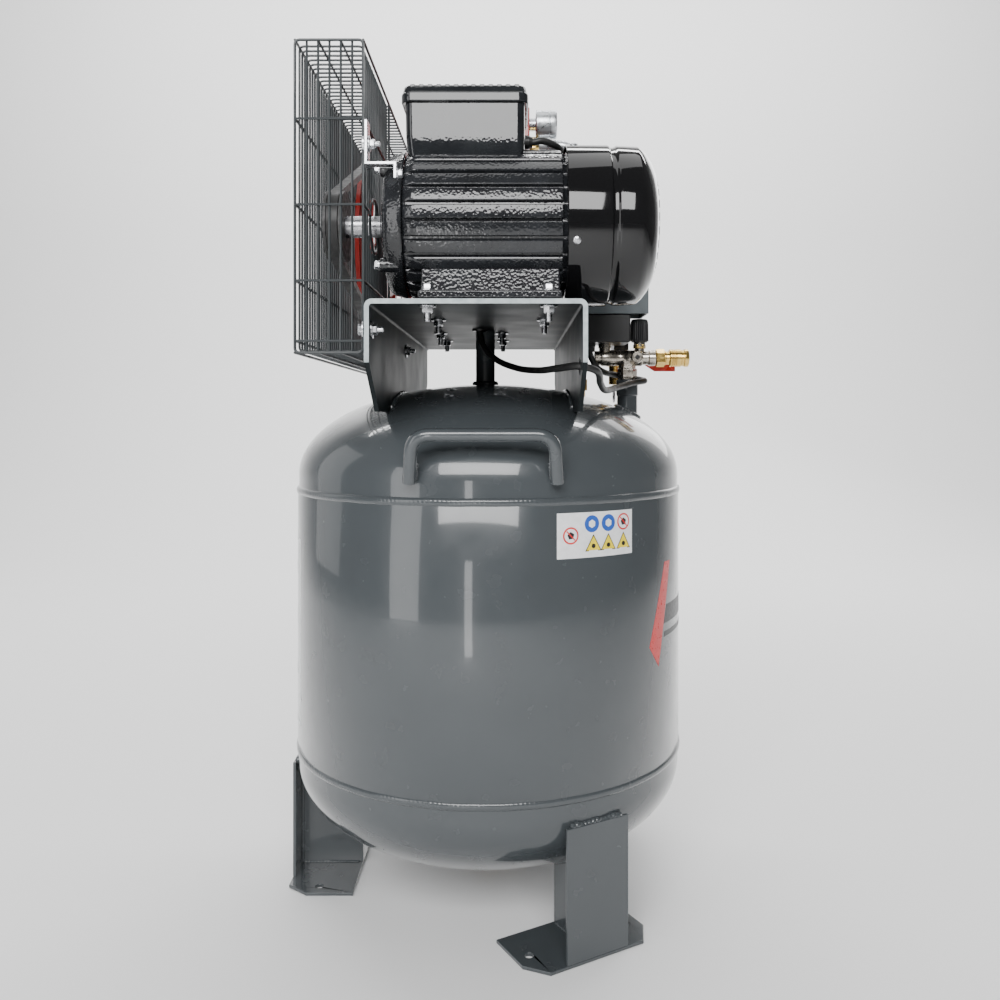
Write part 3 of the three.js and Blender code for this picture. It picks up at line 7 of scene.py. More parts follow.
import bmesh
import bpy
from mathutils import Matrix, Vector
from mathutils.geometry import tessellate_polygon


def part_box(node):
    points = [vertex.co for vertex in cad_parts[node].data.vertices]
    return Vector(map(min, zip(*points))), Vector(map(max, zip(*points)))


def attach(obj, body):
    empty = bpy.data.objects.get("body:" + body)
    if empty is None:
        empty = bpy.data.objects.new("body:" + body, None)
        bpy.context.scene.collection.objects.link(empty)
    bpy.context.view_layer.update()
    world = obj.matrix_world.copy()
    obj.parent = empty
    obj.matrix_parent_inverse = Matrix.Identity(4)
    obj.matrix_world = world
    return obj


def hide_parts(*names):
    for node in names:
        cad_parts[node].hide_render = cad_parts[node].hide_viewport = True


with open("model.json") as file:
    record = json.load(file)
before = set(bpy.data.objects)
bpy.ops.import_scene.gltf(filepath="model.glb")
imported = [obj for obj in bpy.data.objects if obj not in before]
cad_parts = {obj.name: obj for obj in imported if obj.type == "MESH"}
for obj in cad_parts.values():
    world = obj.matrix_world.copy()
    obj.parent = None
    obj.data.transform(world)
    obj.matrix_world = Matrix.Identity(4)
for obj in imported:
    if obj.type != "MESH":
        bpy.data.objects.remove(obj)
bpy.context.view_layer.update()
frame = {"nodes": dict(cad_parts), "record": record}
MM = 0.001
RIGHT, LEFT = (1, 0, 0), (-1, 0, 0)
REAR, FRONT = (0, 1, 0), (0, -1, 0)
UP, DOWN = (0, 0, 1), (0, 0, -1)

# ---- the layout frame
# Shapes are laid out in millimetres from the receiver's axis, at floor level.
tank_low, tank_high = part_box("tank_shell")
AXIS = Vector(((tank_low.x + tank_high.x) / 2, (tank_low.y + tank_high.y) / 2, 0))


def span(node):
    """Lowest and highest corner of a CAD node, in layout millimetres."""
    low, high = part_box(node)
    return (low - AXIS) / MM, (high - AXIS) / MM


def middle(node):
    """Middle of a CAD node's box, in layout millimetres."""
    low, high = span(node)
    return (low + high) / 2


def at(x, y, z):
    """A layout point in the row frame, in metres."""
    return Vector((x, y, z)) * MM + AXIS


def linked(name, data):
    """A new object in the scene."""
    made = bpy.data.objects.new(name, data)
    bpy.context.scene.collection.objects.link(made)
    return made


# ---- camera
EYE_HEIGHT = 600
EYE_DISTANCE = 1251.75
EYE_SIDE = 32
LENS = 33.6
SHIFT = (-0.013, -0.083)

camera_data = bpy.data.cameras.new("camera")
camera = linked("camera", camera_data)
camera.location = at(EYE_SIDE, -EYE_DISTANCE, EYE_HEIGHT)
camera.rotation_euler = (radians(90), 0, 0)
camera_data.lens = LENS
camera_data.sensor_width = 36
camera_data.shift_x, camera_data.shift_y = SHIFT
camera_data.clip_start = 0.01
bpy.context.scene.camera = camera

# ---- floor and light
FLOOR_SIZE = 14
FLOOR_DROP = 0.0005
WORLD_STRENGTH = 0.16
# name, centre, target, width, height, power
CARDS = (
    ("front_high", (-0.25, -3.1, 2.2), (0, 0, 0.9), 2.7, 1.4, 150),
    ("front_strip", (-0.24, -1.5, 0.33), (0, 0, 0.33), 0.1, 0.64, 1.3),
    ("left_window", (-2.3, -2.3, 1.0), (0, 0, 0.5), 1.0, 2.0, 22),
    ("top_bank", (0.1, -0.2, 3.0), (0, 0, 0.6), 2.0, 1.2, 14),
    ("left_bank", (-3.0, 0.6, 1.4), (0, 0, 0.5), 1.4, 2.2, 9),
    ("rear_bank", (1.6, 2.6, 1.9), (0, 0, 0.6), 1.2, 1.8, 16),
    ("backdrop_bank", (0, 1.7, 3.6), (0, 3.6, 0.7), 5.0, 0.8, 230),
)


def emission_card(name, centre, target, width, height, power):
    """A soft studio light facing a point."""
    data = bpy.data.lights.new(name, "AREA")
    data.shape = "RECTANGLE"
    data.size, data.size_y = width, height
    data.energy = power
    light = linked(name, data)
    light.location = centre
    light.rotation_euler = (Vector(target) - Vector(centre)).to_track_quat("-Z", "Y").to_euler()


def make_stage():
    """A pale floor that bends up into a backdrop behind the object."""
    half = FLOOR_SIZE / 2
    bend_start, bend_radius = 2.2, 1.6
    bend_steps = 24
    line = [(-half, 0.0), (bend_start, 0.0)]
    for k in range(1, bend_steps + 1):
        angle = pi / 2 * k / bend_steps
        line.append((bend_start + bend_radius * sin(angle), bend_radius * (1 - cos(angle))))
    line.append((bend_start + bend_radius, half))
    points = [(x, y, z) for x in (-half, half) for y, z in line]
    count = len(line)
    faces = [(i, i + count, i + count + 1, i + 1) for i in range(count - 1)]
    mesh = bpy.data.meshes.new("floor")
    mesh.from_pydata(points, [], faces)
    for face in mesh.polygons:
        face.use_smooth = True
    floor = linked("floor", mesh)
    material = bpy.data.materials.new("studio_floor")
    material.use_nodes = True
    shader = material.node_tree.nodes["Principled BSDF"]
    shader.inputs["Base Color"].default_value = (0.86, 0.86, 0.86, 1)
    shader.inputs["Roughness"].default_value = 0.75
    mesh.materials.append(material)
    floor.location = (0, 0, -FLOOR_DROP)

    world = bpy.data.worlds.new("studio")
    bpy.context.scene.world = world
    world.use_nodes = True
    background = world.node_tree.nodes["Background"]
    background.inputs["Color"].default_value = (1.0, 1.0, 1.0, 1)
    background.inputs["Strength"].default_value = WORLD_STRENGTH

    for row in CARDS:
        emission_card(*row)


make_stage()

# ---- materials
MATERIALS = {}
SLOT_COLOURS = {row["slot"]: row["base_color"] for row in frame["record"]["materials"]}


class Shading:
    """One principled material and short ways to add procedural detail to it."""

    def __init__(self, name, **sockets):
        self.material = bpy.data.materials.new(name)
        self.material.use_nodes = True
        self.tree = self.material.node_tree
        self.shader = self.tree.nodes["Principled BSDF"]
        self.normal = None
        self.place = self.node("ShaderNodeTexCoord").outputs["Object"]
        for socket, value in sockets.items():
            self.shader.inputs[socket.replace("_", " ")].default_value = value
        MATERIALS[name] = self.material

    def node(self, kind, values=(), **settings):
        """Adds a shader node with its settings and its (input, value) pairs."""
        made = self.tree.nodes.new(kind)
        for key, value in settings.items():
            setattr(made, key, value)
        for socket, value in values:
            made.inputs[socket].default_value = value
        return made

    def link(self, source, target):
        """Joins an output to an input."""
        self.tree.links.new(source, target)

    def noise(self, size_mm, detail=3.0, stretch=(1, 1, 1)):
        """Noise whose lumps are about size_mm across, drawn out along an axis by stretch."""
        drawn = self.node("ShaderNodeMapping", [("Scale", [1 / s for s in stretch])])
        self.link(self.place, drawn.inputs["Vector"])
        made = self.node("ShaderNodeTexNoise", [("Scale", 1 / (size_mm * MM)), ("Detail", detail)])
        self.link(drawn.outputs["Vector"], made.inputs["Vector"])
        return made.outputs["Fac"]

    def cells(self, size_mm):
        """Distance to the middle of soft cells about size_mm across."""
        values = [("Scale", 1 / (size_mm * MM)), ("Smoothness", 0.6)]
        made = self.node("ShaderNodeTexVoronoi", values, feature="SMOOTH_F1")
        self.link(self.place, made.inputs["Vector"])
        return made.outputs["Distance"]

    def tones(self, fac, *stops):
        """A colour ramp from (place, colour) stops."""
        ramp = self.node("ShaderNodeValToRGB")
        elements = ramp.color_ramp.elements
        while len(elements) < len(stops):
            elements.new(0.5)
        for element, (place, colour) in zip(elements, stops):
            element.position = place
            element.color = (*colour[:3], 1)
        self.link(fac, ramp.inputs["Fac"])
        return ramp.outputs["Color"]

    def spread(self, fac, from_low, from_high, low, high):
        """Maps one range of values to another."""
        values = [("From Min", from_low), ("From Max", from_high), ("To Min", low), ("To Max", high)]
        made = self.node("ShaderNodeMapRange", values)
        self.link(fac, made.inputs["Value"])
        return made.outputs["Result"]

    def colour_from(self, fac, dark, light, low=0.3, high=0.7):
        """Base colour from dark to light."""
        self.link(self.tones(fac, (low, dark), (high, light)), self.shader.inputs["Base Color"])

    def roughness_from(self, fac, low, high):
        """Roughness spread between two values."""
        self.link(self.spread(fac, 0.3, 0.7, low, high), self.shader.inputs["Roughness"])

    def bump_from(self, fac, height_mm, strength=1.0):
        """Adds a bump on top of those before it, under the clear coat as well."""
        bump = self.node("ShaderNodeBump", [("Distance", height_mm * MM), ("Strength", strength)])
        self.link(fac, bump.inputs["Height"])
        if self.normal:
            self.link(self.normal, bump.inputs["Normal"])
        self.normal = bump.outputs["Normal"]
        self.link(self.normal, self.shader.inputs["Normal"])
        self.link(self.normal, self.shader.inputs["Coat Normal"])


def scaled(colour, factor):
    """A colour made darker or lighter."""
    return tuple(min(1, c * factor) for c in colour[:3])


def finish(name, colour, tones, roughs, *bumps, **sockets):
    """A colour and a roughness, each as (noise, low share, high share), and bumps laid in turn."""
    look = Shading(name, **sockets)
    size, low, high = tones
    look.colour_from(look.noise(size), scaled(colour, low), scaled(colour, high))
    size, low, high = roughs
    look.roughness_from(look.noise(*size), low, high)
    for kind, settings, depth, strength in bumps:
        look.bump_from(getattr(look, kind)(*settings), depth, strength)
    return look


def gloss_paint(slot, roughness, peel_mm=2.2, peel=0.03, tint=0.12, coat=0.6, shade=1.0, shine=0.5):
    """Sprayed paint: slow changes of tone, orange peel and a clear gloss."""
    colour = scaled(SLOT_COLOURS[slot], shade)
    sockets = {"Coat_Weight": coat, "Coat_Roughness": 0.05, "Specular_IOR_Level": shine}
    roughs = ((25,), roughness * 0.8, roughness * 1.3)
    finish(slot, colour, (70, 1 - tint, 1 + tint), roughs, ("noise", (peel_mm, 2), peel, 0.35), **sockets)


def hammered_paint(slot):
    """Thick black enamel over a sand casting: small rounded dimples under a wet gloss."""
    bumps = (("cells", (2.8,), 0.4, 0.7), ("noise", (1.4, 2), 0.12, 0.5))
    sockets = {"Coat_Weight": 1.0, "Coat_Roughness": 0.03, "Specular_IOR_Level": 0.1}
    finish(slot, SLOT_COLOURS[slot], (40, 0.7, 1.5), ((6,), 0.16, 0.3), *bumps, **sockets)


def worked_metal(slot, roughness, lines=(1, 1, 1), grain_mm=0.8, depth=0.02, tint=0.12):
    """Bare or plated metal: faint tool lines, stains and uneven shine."""
    roughs = ((5, 4), roughness * 0.7, roughness * 1.5)
    grain = ("noise", (grain_mm, 3, lines), depth, 0.5)
    finish(slot, SLOT_COLOURS[slot], (12, 1 - tint, 1 + tint), roughs, grain, Metallic=1.0)


def moulded_plastic(slot, roughness, texture_mm=0.5, depth=0.03):
    """Moulded plastic or rubber with a fine spark-eroded grain."""
    roughs = ((10,), roughness * 0.8, roughness * 1.25)
    grain = ("noise", (texture_mm, 2), depth, 0.5)
    finish(slot, SLOT_COLOURS[slot], (30, 0.85, 1.2), roughs, grain, Specular_IOR_Level=0.5)


def plain_look(name, colour, roughness):
    """A finish of the visual model's own, for print and small trim."""
    roughs = ((4,), roughness * 0.85, roughness * 1.2)
    finish(name, colour, (9, 0.92, 1.05), roughs, ("noise", (1.5, 2), 0.01, 0.3))


def painted_edge_highlight(name, node, highlight_depth):
    """Satin paint with a painted highlight: pale grey along a node's front edge, to the given depth in
    millimetres, standing for the light the cut edge catches.
    """
    look = Shading(name, Specular_IOR_Level=0.2, IOR=1.2)
    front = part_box(node)[0].y
    depth = look.node("ShaderNodeSeparateXYZ")
    look.link(look.place, depth.inputs["Vector"])
    # mask of the painted highlight: full at the front face, none past the given depth
    highlight_mask = look.spread(depth.outputs["Y"], front + 0.4 * MM, front + highlight_depth * MM, 1, 0)
    paint_stops = (0.3, (0.014, 0.017, 0.018)), (0.7, (0.022, 0.026, 0.028))
    paint_tone = look.tones(look.noise(60), *paint_stops)
    # pale grey painted in as the highlight on the front edge
    highlight_stops = (0.3, (0.34, 0.39, 0.4)), (0.7, (0.5, 0.55, 0.56))
    highlight_tone = look.tones(look.noise(8), *highlight_stops)
    mix = look.node("ShaderNodeMix", data_type="RGBA")
    look.link(highlight_mask, mix.inputs["Factor"])
    look.link(paint_tone, mix.inputs["A"])
    look.link(highlight_tone, mix.inputs["B"])
    look.link(mix.outputs["Result"], look.shader.inputs["Base Color"])
    look.roughness_from(look.noise(60, 1), 0.42, 0.5)
    look.bump_from(look.noise(25, 1), 0.01, 0.1)


gloss_paint("tank_paint", 0.22, peel_mm=6.0, peel=0.012, tint=0.03, coat=0.8, shade=0.5, shine=0.3)
hammered_paint("motor_paint")
gloss_paint("cowl_paint", 0.1, peel_mm=5.0, peel=0.01, coat=1.0, shade=0.5, shine=0.05)
gloss_paint("red_paint", 0.3, peel=0.06, shade=0.7, shine=0.3)
gloss_paint("wire_paint", 0.4, peel_mm=0.8, coat=0.2, shade=0.5, shine=0.3)
worked_metal("cast_iron", 0.55, grain_mm=1.2, depth=0.15, tint=0.3)
worked_metal("steel", 0.28, lines=(0.2, 1, 1))
worked_metal("zinc", 0.25, grain_mm=2.5, tint=0.18)
worked_metal("brass", 0.2, tint=0.18)
worked_metal("nickel", 0.22, grain_mm=1.5, depth=0.05, tint=0.2)
worked_metal("aluminium", 0.3, lines=(4, 1, 1))
moulded_plastic("rubber", 0.42, texture_mm=0.4)
moulded_plastic("black_plastic", 0.35)
moulded_plastic("grey_plastic", 0.45)
moulded_plastic("red_plastic", 0.3)
sight = Shading("sight_glass", Transmission_Weight=0.85, Roughness=0.05, IOR=1.45)
sight.colour_from(sight.noise(8), (0.6, 0.5, 0.2), (0.8, 0.75, 0.5))
enamel = Shading("box_enamel", Coat_Weight=1.0, Coat_Roughness=0.02, Specular_IOR_Level=0.05)
enamel.colour_from(enamel.noise(40), (0.007, 0.008, 0.01), (0.016, 0.018, 0.02))
enamel.roughness_from(enamel.noise(8), 0.12, 0.22)
enamel.bump_from(enamel.cells(3.0), 0.12, 0.5)
enamel.bump_from(enamel.noise(11, 1), 0.12, 0.4)
# the platform's front edge gets a painted highlight
painted_edge_highlight("platform_look", "platform", 1.6)
plain_look("label_white", (0.78, 0.79, 0.8), 0.35)
plain_look("label_blue", (0.02, 0.09, 0.42), 0.35)
plain_look("label_yellow", (0.85, 0.66, 0.02), 0.35)
plain_look("label_red", (0.62, 0.03, 0.03), 0.3)
# This near-black finish serves print and gauge ticks, and also the painted shade in the cowl vents and the
# plug socket.
plain_look("print_and_shade_black", (0.012, 0.012, 0.014), 0.35)

# ---- shapes
SMOOTH_ANGLE = radians(35)
record = frame["record"]
BODIES = record["behaviour"]["bodies"]
NODE_BODY = {node: body for body, nodes in BODIES.items() for node in nodes}
NODE_SLOT = {row["node"]: row["material_slot"] for row in record["subparts"]}


def placed(name, mesh, body, slot, replaced=(), bevel=0.0, look=None):
    """Turns a mesh into a finished piece: edges eased, material set, riding on its body."""
    piece = linked(name, mesh)
    mesh.materials.clear()
    mesh.materials.append(MATERIALS[look or slot])
    for face in mesh.polygons:
        face.use_smooth = True
    mesh.set_sharp_from_angle(angle=SMOOTH_ANGLE)
    if bevel:
        ease = piece.modifiers.new("eased_edges", "BEVEL")
        ease.width = bevel * MM
        ease.segments = 3
        ease.limit_method = "ANGLE"
        ease.angle_limit = SMOOTH_ANGLE
        ease.harden_normals = True
    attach(piece, body)
    if replaced:
        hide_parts(*replaced)
    return piece


def dressed(node, bevel, look=None):
    """The CAD shape itself with its facets joined and its edges eased."""
    work = bmesh.new()
    work.from_mesh(frame["nodes"][node].data)
    bmesh.ops.remove_doubles(work, verts=work.verts, dist=0.00002)
    bmesh.ops.dissolve_limit(work, angle_limit=radians(0.6), verts=work.verts, edges=work.edges)
    mesh = bpy.data.meshes.new(node + "_skin")
    work.to_mesh(mesh)
    work.free()
    return placed(node + "_skin", mesh, NODE_BODY[node], NODE_SLOT[node], [node], bevel, look)


def circle(radius, count, start=0.0):
    """Points round a circle, in order."""
    step = 2 * pi / count
    return [(radius * cos(start + i * step), radius * sin(start + i * step)) for i in range(count)]


def swept(path, radii, count, looped=False):
    """Round rings along a path, each turned from the one before without twist."""
    total = len(path)
    rings = []
    side = None
    for i, (point, radius) in enumerate(zip(path, radii)):
        before = path[i - 1] if (i or looped) else point
        after = path[(i + 1) % total] if (i < total - 1 or looped) else point
        along = (after - before).normalized()
        if side is None:
            side = along.orthogonal().normalized()
        side = (side - along * side.dot(along)).normalized()
        other = along.cross(side)
        rings.append([point + side * x + other * y for x, y in circle(radius, count)])
    return rings


class Shape:
    """Closed shapes in layout millimetres, gathered into one piece."""

    def __init__(self):
        self.work = bmesh.new()

    def skin(self, rings, capped=True, looped=False):
        """Joins rings of points one to the next; looped joins the last to the first."""
        rows = [[self.work.verts.new(at(*point)) for point in ring] for ring in rings]
        if looped:
            rows.append(rows[0])
        for one, two in zip(rows, rows[1:]):
            for i in range(len(one)):
                j = (i + 1) % len(one)
                self.work.faces.new((one[i], one[j], two[j], two[i]))
        if capped and not looped:
            self.work.faces.new(rows[0])
            self.work.faces.new(rows[-1])
        return self

    def lathe(self, profile, centre, direction=UP, count=96, hollow=False, spin=0.0):
        """Turns (along, radius) points round a line; hollow closes the profile on itself."""
        turn = Vector(direction).to_track_quat("Z", "X")
        middle_point = Vector(centre)
        rings = []
        for along, radius in profile:
            flat = circle(max(radius, 0.01), count, spin)
            rings.append([middle_point + turn @ Vector((x, y, along)) for x, y in flat])
        return self.skin(rings, capped=not hollow, looped=hollow)

    def prism(self, outline, axis, low, high):
        """A flat outline pushed along x, y or z. The outline uses the other two axes in order."""
        rings = []
        for level in (low, high):
            if axis == "x":
                rings.append([(level, a, b) for a, b in outline])
            elif axis == "y":
                rings.append([(a, level, b) for a, b in outline])
            else:
                rings.append([(a, b, level) for a, b in outline])
        return self.skin(rings)

    def block(self, x0, x1, y0, y1, z0, z1):
        """A box between three pairs of limits."""
        return self.prism([(x0, y0), (x1, y0), (x1, y1), (x0, y1)], "z", z0, z1)

    def plate(self, outline, holes, place, thickness):
        """A flat plate with holes through it; place turns its (u, v, depth) points into layout points."""
        loops = [outline] + holes
        flat = [Vector((u, v, 0)) for loop in loops for u, v in loop]
        triangles = tessellate_polygon([[Vector((u, v, 0)) for u, v in loop] for loop in loops])
        near = [self.work.verts.new(at(*place(p.x, p.y, 0))) for p in flat]
        far = [self.work.verts.new(at(*place(p.x, p.y, thickness))) for p in flat]
        for a, b, c in triangles:
            self.work.faces.new((near[a], near[b], near[c]))
            self.work.faces.new((far[c], far[b], far[a]))
        start = 0
        for loop in loops:
            for i in range(len(loop)):
                a, b = start + i, start + (i + 1) % len(loop)
                self.work.faces.new((near[a], near[b], far[b], far[a]))
            start += len(loop)
        return self

    def tube(self, path, radius, count=12, looped=False):
        """A round bar along a path."""
        points = [Vector(p) for p in path]
        return self.skin(swept(points, [radius] * len(points), count, looped), looped=looped)

    def bolt(self, centre, direction, across, height, washer=0.0, stud=0.0):
        """A hexagon head or nut with a rounded crown, on a washer, with an optional stud end."""
        corner = across / sqrt(3)
        base = 0.0
        if washer:
            self.lathe([(0, washer), (1.4, washer), (1.6, washer * 0.95)], centre, direction, 24)
            base = 1.6
        crown = [(base, corner), (base + height * 0.82, corner), (base + height, corner * 0.86)]
        self.lathe(crown, centre, direction, 6)
        if stud:
            tip = base + height + stud
            shank = [(base, across * 0.3), (tip - 0.8, across * 0.3), (tip, across * 0.24)]
            self.lathe(shank, centre, direction, 16)
        return self

    def done(self, name, slot, replaced=(), bevel=0.0, look=None, body="frame"):
        """Closes the shape and places it as one piece."""
        bmesh.ops.recalc_face_normals(self.work, faces=self.work.faces)
        mesh = bpy.data.meshes.new(name)
        self.work.to_mesh(mesh)
        self.work.free()
        return placed(name, mesh, body, slot, replaced, bevel, look)


def rounded_path(corners, bend, steps=7, looped=False):
    """Straight runs between corners with round bends of the given radius."""
    points = [Vector(c) for c in corners]
    total = len(points)
    path = []
    for i, corner in enumerate(points):
        if not looped and i in (0, total - 1):
            path.append(corner)
            continue
        back = points[i - 1] - corner
        onward = points[(i + 1) % total] - corner
        angle = back.angle(onward)
        reach = min(bend / tan(angle / 2), back.length * 0.49, onward.length * 0.49)
        first = corner + back.normalized() * reach
        last = corner + onward.normalized() * reach
        for k in range(steps + 1):
            t = k / steps
            path.append(first * (1 - t) ** 2 + corner * 2 * t * (1 - t) + last * t * t)
    return path


def weld(shape, path, radius, pitch=4.2, ripple=0.14, count=10):
    """A weld bead: a bar that swells at every pitch along its path."""
    points = [Vector(p) for p in path]
    dense = [points[0]]
    for one, two in zip(points, points[1:]):
        steps = max(1, round((two - one).length / (pitch / 4)))
        dense.extend(one.lerp(two, k / steps) for k in range(1, steps + 1))
    radii = []
    run = 0.0
    for i, point in enumerate(dense):
        if i:
            run += (point - dense[i - 1]).length
        end_taper = 0.55 if i in (0, len(dense) - 1) else 1.0
        radii.append(radius * end_taper * (1 - ripple + ripple * abs(sin(pi * run / pitch)) * 2))
    shape.skin(swept(dense, radii, count))


# ---- receiver
TANK_RADIUS = 250
HEAD_RADIUS = 248.7
HEAD_DEPTH = 117.25
HEAD_POWER = 2.065
LOWER_TANGENT = 162
UPPER_TANGENT = 526
BEAD_LOW = 180.5
BEAD_HIGH = 507.5


def head_rise(radius):
    """Height of a dished head above its tangent line, at a distance from the axis."""
    return HEAD_DEPTH * (1 - (min(radius, HEAD_RADIUS) / HEAD_RADIUS) ** HEAD_POWER) ** (1 / HEAD_POWER)


def upper_head(x, y):
    """Height of the top head's surface over a point of the plan."""
    return UPPER_TANGENT + head_rise(hypot(x, y))


def lower_head(radius):
    """Height of the bottom head's surface at a distance from the axis."""
    return LOWER_TANGENT - head_rise(radius)


def head_arc(count):
    """(rise, radius) points from the middle of a head out to its edge."""
    arc = []
    for i in range(count):
        angle = pi / 2 * i / (count - 1)
        sine, cosine = sin(angle), max(0.0, cos(angle))
        arc.append((HEAD_DEPTH * cosine ** (2 / HEAD_POWER), HEAD_RADIUS * sine ** (2 / HEAD_POWER)))
    return arc


arc = head_arc(40)
tank_profile = [(LOWER_TANGENT - rise, radius) for rise, radius in arc]
joint_step = [(4, HEAD_RADIUS), (1, HEAD_RADIUS + 0.2), (-1, TANK_RADIUS)]
tank_profile += [(BEAD_LOW - down, radius) for down, radius in joint_step]
tank_profile += [(BEAD_HIGH + up, radius) for up, radius in reversed(joint_step)]
tank_profile += [(UPPER_TANGENT + rise, radius) for rise, radius in reversed(arc)]
tank = Shape().lathe(tank_profile, (0, 0, 0), count=256)
BEAD_PITCH = 5.0
bead_count = round(2 * pi * TANK_RADIUS / BEAD_PITCH)
for bead_z in (BEAD_LOW, BEAD_HIGH):
    rows = [(-5.0, -1.4), (-3.6, 0.55), (-1.8, 1.2), (0, 1.4), (1.8, 1.2), (3.6, 0.55), (5.0, -1.4)]
    rings = []
    for along, proud in rows:
        ring = []
        for i in range(bead_count * 4):
            angle = 2 * pi * i / (bead_count * 4)
            ripple = 0.16 * cos(angle * bead_count + along * 0.5)
            wander = 0.25 * sin(angle * 23) * sin(angle * 7 + 1)
            radius = TANK_RADIUS - 0.1 + proud + ripple
            ring.append((radius * cos(angle), radius * sin(angle), bead_z + along + wander))
        rings.append(ring)
    tank.skin(rings, capped=False)
tank.done("tank_body", "tank_paint", ["tank_shell"])

# ---- legs
LEG_ANGLES = {"leg_left": 180, "leg_front": -60, "leg_rear": 60}
LEG_OUTER = 253.5
LEG_PLATE = 4
LEG_TOP = 152
LEG_WIDTH = 82
WEB_OFFSET = -2.5
WEB_INNER = 169
WEB_THICK = 5
FOOT_LENGTH = 85
FOOT_WIDTH = 165
FOOT_PLATE = 4
FOOT_CUT = (26, 20)
ANCHOR = (214, 66)
ANCHOR_RADIUS = 5
for leg, degrees in LEG_ANGLES.items():
    turn = Matrix.Rotation(radians(degrees), 3, "Z")
    made = Shape()
    inner, outer, half = LEG_OUTER - FOOT_LENGTH, LEG_OUTER, FOOT_WIDTH / 2
    foot_outline = [
        (inner, -half), (outer - FOOT_CUT[0], -half), (outer, -half + FOOT_CUT[1]),
        (outer, half - FOOT_CUT[1]), (outer - FOOT_CUT[0], half), (inner, half),
    ]
    rim = circle(ANCHOR_RADIUS, 32)
    anchors = [[(ANCHOR[0] + x, side * ANCHOR[1] + y) for x, y in rim] for side in (-1, 1)]
    made.plate(foot_outline, anchors, lambda u, v, depth: turn @ Vector((u, v, depth)), FOOT_PLATE)
    side = LEG_WIDTH / 2
    low = FOOT_PLATE - 0.2
    upright_outline = [(-side, low), (side, low), (side, LEG_TOP), (-side, LEG_TOP)]
    made.plate(upright_outline, [], lambda u, v, depth: turn @ Vector((outer - depth, u, v)), LEG_PLATE)
    web_outline = [(WEB_INNER, low), (outer - 3, low), (outer - 3, LEG_TOP - 2)]
    for k in range(12):
        radius = TANK_RADIUS - 1 - (TANK_RADIUS - 1 - WEB_INNER) * k / 11
        web_outline.append((radius, min(LEG_TOP - 2, lower_head(radius) - 0.2)))
    web_side = WEB_OFFSET - WEB_THICK / 2
    made.plate(web_outline, [], lambda u, v, depth: turn @ Vector((u, web_side + depth, v)), WEB_THICK)
    made.done(leg + "_plates", "tank_paint", [leg], bevel=0.9)
for leg, degrees in LEG_ANGLES.items():
    turn = Matrix.Rotation(radians(degrees), 3, "Z")
    bead = Shape()
    edge = []
    for k in range(9):
        across = -LEG_WIDTH / 2 + 7 + (LEG_WIDTH - 14) * k / 8
        edge.append(turn @ Vector((LEG_OUTER - 4.6, across, LEG_TOP - 0.5 + 1.2 * sin(k * 2.1))))
    weld(bead, edge, 3.7, pitch=5.5, ripple=0.16)
    for side in (-1, 1):
        seam = []
        for k in range(14):
            radius = WEB_INNER + 4 + (TANK_RADIUS - WEB_INNER - 8) * k / 13
            seam.append(turn @ Vector((radius, WEB_OFFSET + side * 2.5, lower_head(radius) - 0.5)))
        weld(bead, seam, 2.6)
        inner = LEG_OUTER - LEG_PLATE
        upright = [turn @ Vector((inner - 0.5, WEB_OFFSET + side * 2.5, z)) for z in (6, 60, 110, 142)]
        weld(bead, upright, 1.8)
        ends = (WEB_INNER + 4, inner - 2)
        weld(bead, [turn @ Vector((radius, WEB_OFFSET + side * 2.5, 4.2)) for radius in ends], 1.8)
    bead.done(leg + "_welds", "tank_paint")

# ---- carry handle
HANDLE_BAR = 7.25
handle_corners = [(-80, -246, 529), (-76, -262, 581), (76, -262, 581), (80, -246, 529)]
bar_path = rounded_path(handle_corners, 22, steps=10)
handle = Shape().tube(bar_path, HANDLE_BAR, 32)
for end in (0, -1):
    foot, knee = Vector(handle_corners[end]), Vector(handle_corners[1 if end == 0 else 2])
    down = (foot - knee).normalized()
    side = -1 if end == 0 else 1
    lip = foot + down * 0.1
    handle.lathe([(-0.4, 7.25), (0, 6.9), (0.0, 5.6), (-2.4, 5.4), (-2.4, 0.1)], lip, down, 32)
    for edge in (-1, 1):
        seam = []
        for k in range(6):
            spot = foot - down * (3 + 4.2 * k)
            outward = Vector((spot.x, spot.y, 0)).normalized()
            tangent = Vector((-outward.y, outward.x, 0)) * edge
            seam.append(spot - outward * 6.6 + tangent * 4.5)
        weld(handle, seam, 2.2)
handle.done("carry_handle_bar", "tank_paint", ["carry_handle"], bevel=0.4)

# ---- platform welds and risers
PLATFORM_SIDES = (-119, 108)
FLANGE_BOTTOM = 606
seams = Shape()
for x, outward in zip(PLATFORM_SIDES, (-1, 1)):
    reach = 0
    while upper_head(x, reach) > FLANGE_BOTTOM + 2:
        reach += 1
    seam = [(x + outward * 0.6, y, upper_head(x, y) + 1.0) for y in range(-reach, reach + 1, 6)]
    weld(seams, seam, 3.0)
    inner = x - outward * 5
    seam = [(inner - outward * 0.6, y, upper_head(inner, y) + 1.0) for y in range(-reach, reach + 1, 6)]
    weld(seams, seam, 2.6)
seams.done("platform_welds", "tank_paint")

